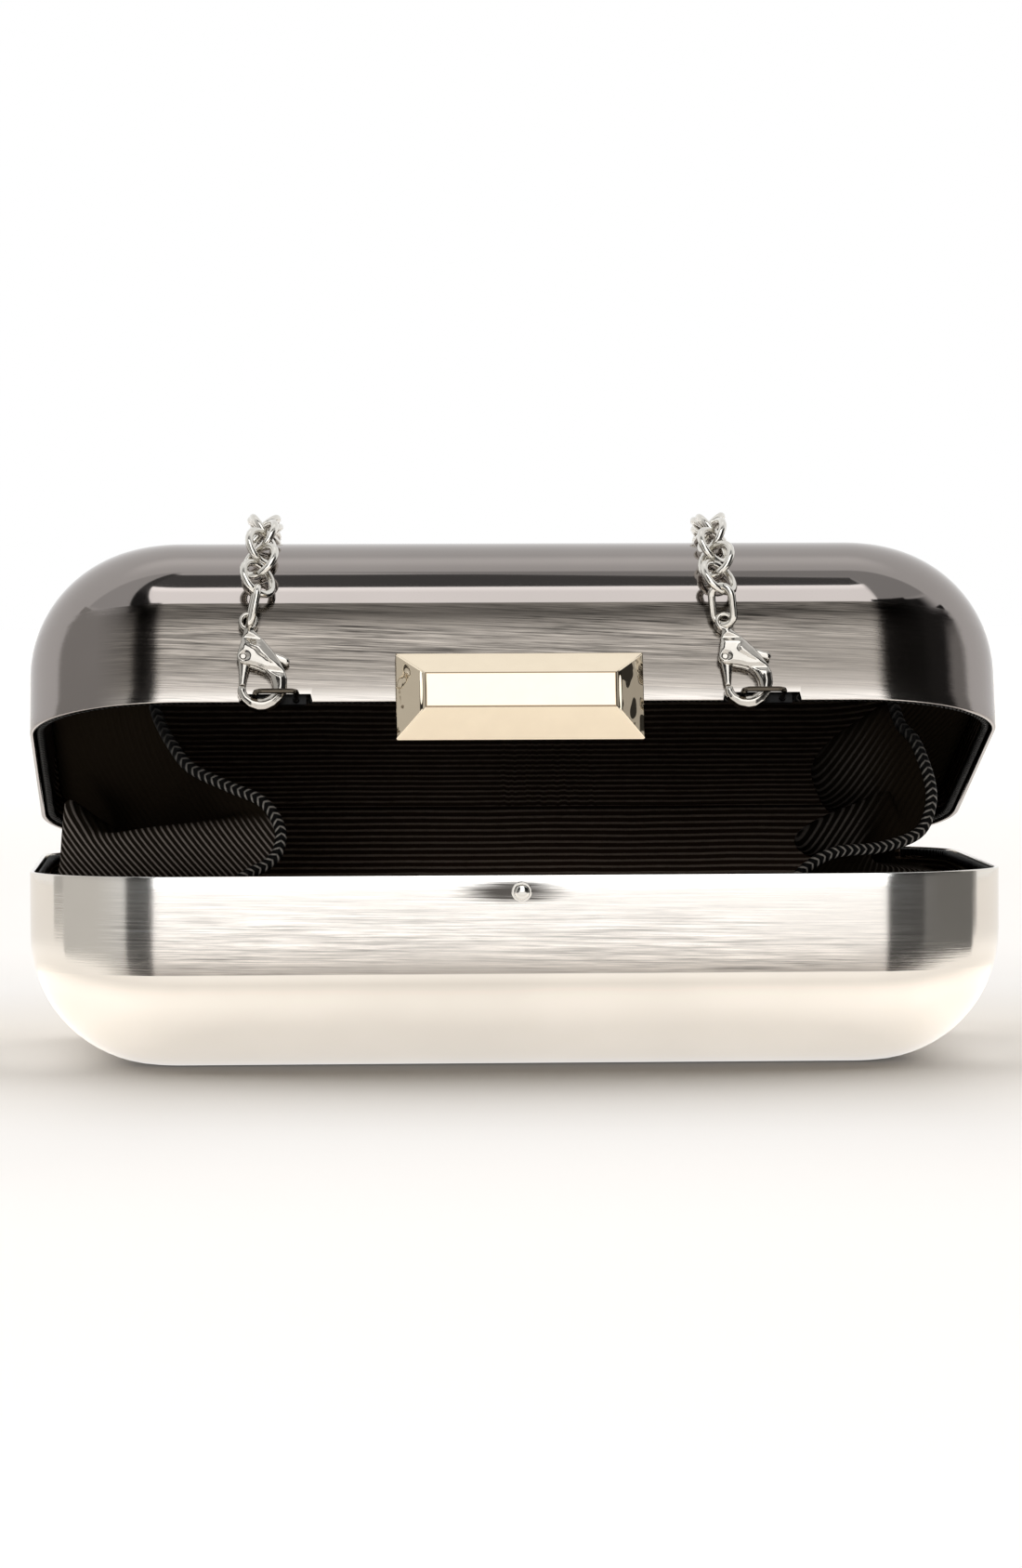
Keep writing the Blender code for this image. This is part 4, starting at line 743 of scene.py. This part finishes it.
# How much higher the left one's lower fold stands, along the rail
LEFT_CREST = [(0, 1.2), (0.12, 1.03), (0.26, 1.0), (0.34, 1.5), (0.44, 1.85), (0.6, 1.3), (1, 1)]
gusset("left", -1, LEFT_EDGE, LEFT_FOLD, LEFT_PROFILE, LEFT_LIGHTS, (0.82, 0.57, 12), LEFT_CREST)
gusset("right", 1, RIGHT_EDGE, RIGHT_FOLD, RIGHT_PROFILE, RIGHT_LIGHTS, (-0.86, 0.5, 0), [(0, 1), (1, 1)])

FLAP, FLAP_INSET, FLAP_SWELL = 0.5 * MM, 3.5 * MM, 1.3 * MM
FLAP_FOOT_Z, FLAP_HEAD_Z = 29 * MM, 42 * MM
FLAP_RIBBED, FLAP_HEIGHT = 12.5 * MM, 13.5 * MM


def back_cloth():
    """The ribbed flap over the hinge, from the lower lining to the lid's and round both back corners."""
    half = bend(FLAP_INSET, FLAP_INSET, np.radians(np.linspace(42, 90, 9)))
    half += [(x * MM, CASE_DEPTH / 2 - FLAP_INSET) for x in range(56, 0, -7)]
    route = evenly([Vector((x, y, 0)) for x, y in half + [(-x, y) for x, y in reversed(half)]], 2 * MM)
    columns, width = len(route) - 1, total(route)

    def place(share, t):
        at = route[round(share * columns)]
        foot = Vector((at.x, at.y, FLAP_FOOT_Z))
        head = opened((at.x, at.y, FLAP_HEAD_Z))
        inwards = Vector((-at.x * 0.3, -at.y, 0)).normalized()
        point = foot.lerp(head, t) + inwards * (FLAP_SWELL * max(0.0, sin(pi * t)) ** 0.7)
        return point, share * width, t * FLAP_RIBBED, lit_at(point)

    cloth = draped("back_cloth", columns, 12, place, RIBBED, FLAP, ["hinge_flap"])
    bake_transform(cloth)


back_cloth()


# The clasp bar, the stud and the clips

BAR_STANDOFF, BAR_SKIRT, BAR_CROWN = 0.6 * MM, 1 * MM, 4.3 * MM
BAR_LIP, BAR_HOLLOW = 1.2 * MM, 3 * MM
HOLLOW_WIDTH, HOLLOW_HEIGHT = 36 * MM, 10.6 * MM
PIN_ABOVE_BAR, BAR_SWING = 3.6 * MM, radians(10.5)
BAR_ROUND = 0.18 * MM


def clasp_bar():
    """The faceted bar with softened edges, hollow behind, and cut back above its pin so that it can rock."""
    shape = bmesh.new()
    bmesh.ops.create_cube(shape, size=1)
    middle = Vector((0, FRONT_Y - BAR_STANDOFF, BAR_Z))
    bmesh.ops.scale(shape, vec=(BAR_WIDTH, BAR_SKIRT, BAR_HEIGHT), verts=shape.verts)
    bmesh.ops.translate(shape, vec=middle + Vector((0, -BAR_SKIRT / 2, 0)), verts=shape.verts)
    shape.normal_update()
    front = [face for face in shape.faces if face.normal.y < -0.9]
    back = [face for face in shape.faces if face.normal.y > 0.9]
    bmesh.ops.inset_region(shape, faces=back, thickness=BAR_LIP)
    lip = [face for face in shape.faces if face.normal.y > 0.9 and face not in back]
    around = {part for face in lip for part in (face, *face.edges, *face.verts)}
    pin_z = middle.z + PIN_ABOVE_BAR
    bmesh.ops.bisect_plane(shape, geom=list(around), plane_co=(0, 0, pin_z), plane_no=(0, 0, 1))
    crown = (BAR_FLAT_WIDTH / BAR_WIDTH, 1, BAR_FLAT_HEIGHT / BAR_HEIGHT)
    hollow = (HOLLOW_WIDTH / (BAR_WIDTH - 2 * BAR_LIP), 1, HOLLOW_HEIGHT / (BAR_HEIGHT - 2 * BAR_LIP))
    for faces, narrowing, reach in ((front, crown, BAR_CROWN), (back, hollow, BAR_HOLLOW)):
        made = bmesh.ops.extrude_face_region(shape, geom=faces)["geom"]
        bmesh.ops.delete(shape, geom=faces, context="FACES_ONLY")
        corners = [part for part in made if isinstance(part, bmesh.types.BMVert)]
        bmesh.ops.scale(shape, vec=narrowing, verts=corners, space=Matrix.Translation(-middle))
        bmesh.ops.translate(shape, vec=(0, -reach, 0), verts=corners)
    bmesh.ops.recalc_face_normals(shape, faces=shape.faces)
    sharp = [edge for edge in shape.edges if edge.calc_face_angle(0) > 0.3]
    bmesh.ops.bevel(shape, geom=sharp, offset=BAR_ROUND, segments=2, profile=0.5, affect="EDGES", material=-1)
    for corner in shape.verts:
        relief = max(corner.co.z - pin_z, 0) * tan(BAR_SWING)
        corner.co.y = min(corner.co.y, middle.y - relief)
    shape.transform(LID_TURN)
    piece("clasp_bar_face", shape, GOLD, "clasp", ["clasp_bar"], 10)


clasp_bar()


# The stud's outline, radius and height in mm: the half axes and middle of its head, and the corners below
HEAD_RADIUS, HEAD_RISE, HEAD_MIDDLE = 1.42, 0.8, 1.5
BELOW_HEAD = [(0.78, 1.22), (0.78, 0.5), (1.7, 0.48), (1.84, 0.36), (1.84, 0.15), (0.78, 0.15), (0.78, -1.5),
              (0, -1.5)]


def stud():
    """A round-headed pin on a thin flange."""
    head = [(HEAD_RADIUS * sin(t), HEAD_MIDDLE + HEAD_RISE * cos(t))
            for t in np.radians(range(0, 109, 12))]
    shape = bmesh.new()
    corners = [shape.verts.new((radius * MM, 0, height * MM)) for radius, height in head + BELOW_HEAD]
    edges = [shape.edges.new(pair) for pair in zip(corners, corners[1:])]
    bmesh.ops.spin(shape, geom=corners + edges, cent=(0, 0, 0), axis=(0, 0, 1), angle=2 * pi, steps=40,
                   use_merge=True)
    bmesh.ops.remove_doubles(shape, verts=shape.verts, dist=0.001 * MM)
    bmesh.ops.recalc_face_normals(shape, faces=shape.faces)
    foot = Matrix.Translation((0, FRONT_Y, STUD_Z))
    shape.transform(foot @ Matrix.Rotation(pi / 2, 4, "X"))
    piece("stud_head", shape, BRIGHT, "base", ["catch_stud"], 35)


stud()


CAST_GRAIN = 0.13 * MM
WIDE_SLOPE, NARROW_SLOPE = 1.7 * MM, 0.8 * MM


def cast(node, body, material, slope):
    """A node's form as if cast and polished: edges round, sides of its front sloping, its right most."""
    thing = shown(bpy.data.objects.new("casting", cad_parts[node].data.copy()))
    remesh = thing.modifiers.new("cast", "REMESH")
    remesh.mode = "VOXEL"
    remesh.voxel_size = CAST_GRAIN
    bpy.context.view_layer.update()
    mesh = bpy.data.meshes.new_from_object(thing.evaluated_get(bpy.context.evaluated_depsgraph_get()))
    bpy.data.objects.remove(thing)
    shape = bmesh.new()
    shape.from_mesh(mesh)
    shape.normal_update()
    outwards = LID_TURN.to_3x3() @ Vector((0, -1, 0))
    rims = [corner.co - outwards * corner.co.dot(outwards) for corner in shape.verts
            if abs(corner.normal.dot(outwards)) < 0.6]
    tree = KDTree(len(rims))
    for k, rim in enumerate(rims):
        tree.insert(rim, k)
    tree.balance()
    for corner in [corner for corner in shape.verts if corner.normal.dot(outwards) > 0.6]:
        flat = corner.co - outwards * corner.co.dot(outwards)
        nearest, _, distance = tree.find(flat)
        widest = WIDE_SLOPE if nearest.x > flat.x else NARROW_SLOPE
        corner.co += outwards * (slope * min(distance, widest))
    for _ in range(11):
        bmesh.ops.smooth_vert(shape, verts=shape.verts, factor=0.5, use_axis_x=True, use_axis_y=True,
                              use_axis_z=True)
    piece(f"{node}_cast", shape, material, body, [node], 180)


for side in ("left", "right"):
    cast(f"{side}_clip_hook", f"{side}_clip", CLIP_METAL, 0.55)
    cast(f"{side}_clip_lever", f"{side}_lever", CLIP_METAL, 0.3)


# The chain

# Its routes in mm: over the lid, as left x, right x, y and z, and from the lid's back edge down to the coil
OVER = [
    (-48.3, 37, -41.1, 83.8), (-47.8, 36.8, -40.9, 84.8), (-46.8, 36.2, -36.7, 91.4),
    (-46.2, 36, -30, 95.8), (-46, 36.2, -21.7, 97.6), (-45.8, 36.6, -13.2, 96.7),
    (-45.4, 38, 5.6, 91.9), (-44.8, 39.6, 24.5, 85.6), (-44, 41, 43.3, 79.3), (-43.6, 41.5, 50.7, 75.1),
    (-43.2, 41.8, 55.9, 68.3), (-43, 42, 58.2, 60.1),
]
LEFT_DROP = [
    (-43, 58.3, 57.8), (-42.9, 58.3, 45), (-42.7, 58.3, 30), (-42.5, 58.3, 16), (-42.3, 60.4, 8.4),
    (-42.1, 66, 4.5), (-42, 73, 4.1), (-42, 78.8, 4.1), (-42, 92, 4.1),
]
RIGHT_DROP = [
    (42, 58.3, 57.8), (42, 58.3, 45), (42, 58.3, 32), (42, 58.4, 20), (42, 60.8, 12.8), (42, 67, 11.2),
    (42, 73.5, 13), (42, 78.8, 14.5), (42, 92, 18),
]
HIDDEN_FROM = 7
EYES = {"left": Vector((-0.048881, -0.039269, 0.080824)), "right": Vector((0.037315, -0.039358, 0.080558))}
RING_LENGTH, RING_WIDTH, WIRE = 8.3 * MM, 8.0 * MM, 1.4 * MM
LONE_LENGTH, LONE_WIDTH = 8.6 * MM, 5.6 * MM
PITCH, CHAIN_DIAMETER = 4.2 * MM, 7.4 * MM
ROUTE_STEP, PATH_STEP = 0.4 * MM, 4 * MM
COIL_TURNS, COIL_RADIUS, COIL_Y = 2.5, 42 * MM, 105 * MM
COIL_LOW_Z, COIL_RISE, COIL_END_Z = 4.1 * MM, 7.5 * MM, 19.1 * MM
TIE_RADIUS, TIE_SKEW = 0.35 * MM, 0.6 * MM
TIE_DEPTH, TIE_HEIGHT, TIE_Z = 4.6 * MM, 11.4 * MM, 11.9 * MM


def link_mesh(length, width, around, sides):
    """An oval link of round wire, along Z."""
    shape = bmesh.new()
    radius = (width - WIRE) / 2
    section = bmesh.ops.create_circle(shape, segments=sides, radius=WIRE / 2)["verts"]
    bmesh.ops.translate(shape, vec=(radius, 0, 0), verts=section)
    bmesh.ops.rotate(shape, cent=(0, 0, 0), matrix=Matrix.Rotation(pi / around, 3, "Y"), verts=section)
    bmesh.ops.spin(shape, geom=shape.verts[:] + shape.edges[:], cent=(0, 0, 0), axis=(0, 1, 0),
                   angle=2 * pi, steps=around, use_merge=True)
    bmesh.ops.recalc_face_normals(shape, faces=shape.faces)
    upper = [corner for corner in shape.verts if corner.co.z > 0]
    lower = [corner for corner in shape.verts if corner.co.z <= 0]
    for corners, rise in ((upper, (length - width) / 2), (lower, (width - length) / 2)):
        bmesh.ops.translate(shape, vec=(0, 0, rise), verts=corners)
    mesh = bpy.data.meshes.new("link")
    shape.to_mesh(mesh)
    shape.free()
    return mesh


def chain(name, route, around, sides, lone_swing=None):
    """Rings along a route, each turned the other way from the one before; the first may be a lone oval."""
    frames = frames_along(route, Vector((0, -1, 0.2)))
    runs = runs_of(route)
    first = (LONE_LENGTH - WIRE) / 2
    if lone_swing is None:
        places = np.arange(PITCH / 2, runs[-1], PITCH)
    else:
        second = first + (LONE_LENGTH - WIRE) / 2 - WIRE + (RING_LENGTH - WIRE) / 2
        places = [first, *np.arange(second, runs[-1], PITCH)]
    ring = link_mesh(RING_LENGTH, RING_WIDTH, around, sides)
    lone = link_mesh(LONE_LENGTH, LONE_WIDTH, around, sides)
    shape = bmesh.new()
    for k, place in enumerate(places):
        middle, n = place_at(route, runs, place)
        tangent, normal, other = frames[n]
        alone = k == 0 and lone_swing is not None
        swing = radians(lone_swing if alone else 45 * (-1) ** k + 9 * sin(2.1 * k))
        across = other * cos(swing) + normal * sin(swing)
        through_hole = tangent.cross(across)
        lean = 0 if alone else radians(11 * sin(1.3 * k + 0.6))
        axis = tangent * cos(lean) + through_hole * sin(lean)
        turn = Matrix((across, axis.cross(across), axis)).transposed().to_4x4()
        start = len(shape.verts)
        shape.from_mesh(lone if alone else ring)
        shape.verts.ensure_lookup_table()
        bmesh.ops.transform(shape, matrix=Matrix.Translation(middle) @ turn, verts=shape.verts[start:])
    return piece(name, shape, CHAIN, sharp=60)


def coil():
    """The coil's turns, clockwise from its left as seen from above, each on the one before."""
    points = []
    steps = int(COIL_TURNS * 48)
    for k in range(steps + 1):
        turned = COIL_TURNS * k / steps
        turn = pi - 2 * pi * turned
        points.append(Vector((COIL_RADIUS * cos(turn), COIL_Y + COIL_RADIUS * sin(turn),
                              COIL_LOW_Z + COIL_RISE * max(0.0, min(2.0, turned - 0.15)))))
    points[-1].z = COIL_END_Z
    return points


def chains():
    """The two stretches in front, from each clip's eye over the lid, and the rest behind the case."""
    left, right = [[in_mm(row[n], *row[2:]) for row in OVER] for n in (0, 1)]
    down = [*left[HIDDEN_FROM - 1 :], *(in_mm(*place) for place in LEFT_DROP)]
    up = [*right[HIDDEN_FROM - 1 :], *(in_mm(*place) for place in RIGHT_DROP)]
    main = [*smooth_route(down, ROUTE_STEP), *coil(), *smooth_route(up[::-1], ROUTE_STEP)]
    for side, over, swing in (("left", left, 80), ("right", right, 35)):
        path = smooth_route([EYES[side], *over[1:HIDDEN_FROM]], ROUTE_STEP)
        points = evenly(path, PATH_STEP)
        thing = chain(f"chain_{side}_front", path, 24, 10, swing)
        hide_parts(f"chain_{side}_over")
        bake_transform(thing)
    points = evenly(main, PATH_STEP)
    thing = chain("chain_back", main, 12, 5)
    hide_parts("chain_left_drop", "chain_right_drop", "chain_coil")
    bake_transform(thing)
    tie_round_coil()


def tie_round_coil():
    """A soft twisted tie round the coil's far side."""
    points = []
    for k in range(41):
        turn = 2 * pi * k / 40
        out, rise = [copysign(abs(wave) ** 0.35, wave) for wave in (cos(turn), sin(turn))]
        points.append(Vector((TIE_SKEW * sin(turn / 2), COIL_Y + COIL_RADIUS + TIE_DEPTH * out,
                              TIE_Z + TIE_HEIGHT * rise)))
    return tube("coil_tie", points, TIE_RADIUS, BLACKENED, "base", sides=8, side=Vector((1, 0, 0)))


chains()


# Finishes of the part's own solids

FINISH = {
    "lower_board": CARD, "upper_board": CARD,
    "hinge_leaf_lower": HINGE_METAL, "hinge_leaf_upper": HINGE_METAL,
}
for side in ("left", "right"):
    FINISH |= {f"{side}_bail": BAIL_METAL, f"{side}_bail_bracket": BLACKENED,
               f"{side}_clip_rivet": CLIP_METAL}
for node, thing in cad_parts.items():
    if not thing.hide_render:
        thing.data.materials.clear()
        thing.data.materials.append(FINISH.get(node, STEEL))


# The studio

SKY_LIGHT, SKY_TINT = 0.15, (1.0, 0.84, 0.66)
SUN_POWER, SUN_ANGLE = 1.86, radians(60)
FILL_POWER, FILL_SIZE = 2.4, 0.6
FLOOR_HALF, FLOOR_DROP, FLOOR_SHADE_X = 6, 0.05 * MM, 62 * MM
FOCAL_PIXELS, PICTURE_PIXELS, SENSOR = 5818.47, 1100, 36
CAMERA_PLACE, CAMERA_TURNS = (-0.04835, -1.01737, 0.09257), (0.0479, 0.0419, -0.003)


def ray_kinds(shade):
    """1 for what the camera sees, and 1 for what metal reflects to it."""
    seen, glossy, depth = [shade.node("ShaderNodeLightPath", {}, {}, kind)
                           for kind in ("Is Camera Ray", "Is Glossy Ray", "Diffuse Depth")]
    return seen, glossy * depth.math("LESS_THAN", depth, 0.5)


def surround():
    """A white surround that reflects as a bright front panel in a dark frame under a paler ceiling."""
    world = bpy.data.worlds.new("studio")
    bpy.context.scene.world = world
    world.use_nodes = True
    sky = Shade(world.node_tree)
    x, y, z = sky.where("Generated").split()
    # Turn from the front and height over the horizon, in degrees
    side = sky.math("ARCTAN2", x, y * -1) * (180 / pi)
    height = sky.math("ARCSINE", z) * (180 / pi)
    rise = (height - 36).most()
    panel = (side + rise * 0.85).step(-18, -16.5) * (side - height * 0.17).step(24, 22.5)
    panel = panel * height.step(67.5, 66)
    low = height.step(48, 44)
    right_edge = ((side - (low * 43 + 27)) / (low * 19 + 5)).step(1, 0)
    dark_frame = (side + (height - 34) * 0.6).step(-39, -37) * right_edge * height.step(86.5, 84.5)
    glow = height.step(34, 44) * 0.5 + height.step(59, 65) * 0.5 + 0.6
    ceiling = height.step(10, 50) * -0.1 + 1.0 + y.step(0.05, 0.4) * z.step(0.85, 0.96) * 0.3
    shaded = side.step(28, 34) * height.step(43, 48) * 0.42 + side.step(-40, -46) * height.step(38, 42) * 0.25
    dark = dark_frame * (1 - panel) * (0.97 - height.step(54, 66) * 0.12)
    mirrored = (panel * glow + ceiling) * (1 - dark) * (1 - shaded * y.step(0.02, -0.02))
    seen, glossy = ray_kinds(sky)
    strength = seen + (1 - seen) * (glossy * mirrored + (1 - glossy) * SKY_LIGHT)
    warm = seen.most(glossy).mix(SKY_TINT, (1, 1, 1))
    background = world.node_tree.nodes["Background"]
    sky.plug(background.inputs["Strength"], strength)
    sky.plug(background.inputs["Color"], warm)


def floor():
    """A white floor, with a warm painted shadow near the case and a weak glow of its own further out."""
    shape = bmesh.new()
    bmesh.ops.create_grid(shape, x_segments=1, y_segments=1, size=FLOOR_HALF)
    bmesh.ops.translate(shape, vec=(0, 0, -FLOOR_DROP), verts=shape.verts)
    look = Look("white_floor", Roughness=0.9, Specular_IOR_Level=0.1)
    seen, glossy = ray_kinds(look)
    x, y, _ = look.where().split()
    out = x.size()
    past = (out - FLOOR_SHADE_X).most()
    away = (past * past + y * y).root()
    # Painted shadow: the floor's colour is darker and warmer near the case
    look.set(Base_Color=away.step(0.03, 0.17).mix((0.8, 0.765, 0.715), (0.88, 0.87, 0.86)))
    # Painted light in reflections: the floor's glow for reflected rays is strongest near the case, over its
    # shadow
    spread = away.step(0.055, 0.105) * 0.58 + away.step(0.12, 0.3) * 0.22
    glow = seen * (away.step(0.1, 0.3) * 0.08 + away.step(0.5, 1.5) * 0.1) + glossy * (0.84 - spread)
    # Painted light: for the camera, glow lightens the shadow past the case's ends and at its foot
    painted_light_beside = out.step(FLOOR_SHADE_X, 0.095) * out.step(0.22, 0.1) * y.step(0.06, -0.02) * y.step(-0.2, -0.06)
    near = seen * (away.step(0.06, 0.03) * 0.08 + painted_light_beside * 0.12)
    look.set(Emission_Color=(glow + near).mix((0, 0, 0), (1, 0.985, 0.97)), Emission_Strength=1.0)
    linked("floor", shape, look.material)


def board(name, shade, corners, foot, head):
    """A standing board that only reflections see."""
    shape = bmesh.new()
    row = drawn(shape, [], [(x, y, foot) for x, y in corners])
    drawn(shape, row, [(x, y, head) for x, y in corners], closed=False)
    look = Look(name, Base_Color=(0, 0, 0), Specular_IOR_Level=0.0, Emission_Strength=shade,
                Emission_Color=(1, 0.985, 0.96))
    thing = linked(name, shape, look.material)
    for kind in ("camera", "diffuse", "shadow", "transmission", "volume_scatter"):
        setattr(thing, f"visible_{kind}", False)


def boards():
    """The boards round each end: shade, the end's x, turns in degrees from the front, reach, foot, head."""
    left, right, end_y = -0.069, 0.07, -0.046
    for name, shade, end_x, turns, reach, foot, head in (
        ("left_dark_board", 0.02, left, (-16.5, -25, -34), 0.33, 0, 0.45),
        ("left_low_board", 0.1, left, (-16.5, -25, -34), 0.14, 0, 0.05),
        ("left_grey_board", 0.5, left, (-33, -50, -70, -85, -98), 0.36, 0, 0.37),
        ("left_low_grey_board", 0.62, left, (-33, -50, -70, -88), 0.145, 0, 0.05),
        ("right_dark_board", 0.02, right, (25, 32, 45, 60), 0.33, 0, 0.45),
        ("right_end_board", 0.03, right, (60, 75, 86, 97), 0.33, 0.235, 0.32),
        ("right_side_board", 0.03, right, (60, 70, 80), 0.33, 0, 0.235),
        ("right_end_low_board", 0.36, right, (80, 88, 97), 0.33, 0, 0.235),
        ("right_low_board", 0.08, right, (21, 32, 47), 0.14, 0, 0.05),
        ("right_low_grey_board", 0.17, right, (47, 65, 80, 94), 0.14, 0, 0.05),
    ):
        corners = [(end_x + reach * sin(turn), end_y - reach * cos(turn)) for turn in map(radians, turns)]
        board(name, shade, corners, foot, head)


def lamps():
    """Two broad suns overhead and a weak fill in front, none of them seen or reflected."""
    sun = bpy.data.lights.new("overhead", "SUN")
    sun.energy = SUN_POWER
    sun.angle = SUN_ANGLE
    fill = bpy.data.lights.new("front_fill", "AREA")
    fill.energy = FILL_POWER
    fill.size = FILL_SIZE
    for name, lamp, place in (
        ("overhead_left", sun, (-0.62, 0.52, 0.93)),
        ("overhead_right", sun, (0.55, 0.52, 0.93)),
        ("front_fill", fill, (-0.45, -1.25, 0.38)),
    ):
        thing = shown(bpy.data.objects.new(name, lamp))
        thing.location = place
        thing.rotation_euler = (Vector((0, 0, 40 * MM)) - Vector(place)).to_track_quat("-Z", "Y").to_euler()
        thing.visible_glossy = False
        thing.visible_camera = False


def camera():
    """The photograph's own camera."""
    yaw, pitch, roll = CAMERA_TURNS
    data = bpy.data.cameras.new("camera")
    data.sensor_fit = "HORIZONTAL"
    data.sensor_width = SENSOR
    data.lens = FOCAL_PIXELS * SENSOR / PICTURE_PIXELS
    data.clip_start = 0.01
    data.clip_end = 30
    thing = shown(bpy.data.objects.new("camera", data))
    turn = Matrix.Rotation(-yaw, 4, "Z") @ Matrix.Rotation(pi / 2 - pitch, 4, "X")
    thing.matrix_world = Matrix.Translation(CAMERA_PLACE) @ turn @ Matrix.Rotation(roll, 4, "Z")
    bpy.context.scene.camera = thing


surround()
floor()
boards()
lamps()
camera()
bpy.context.scene.view_settings.view_transform = "Standard"
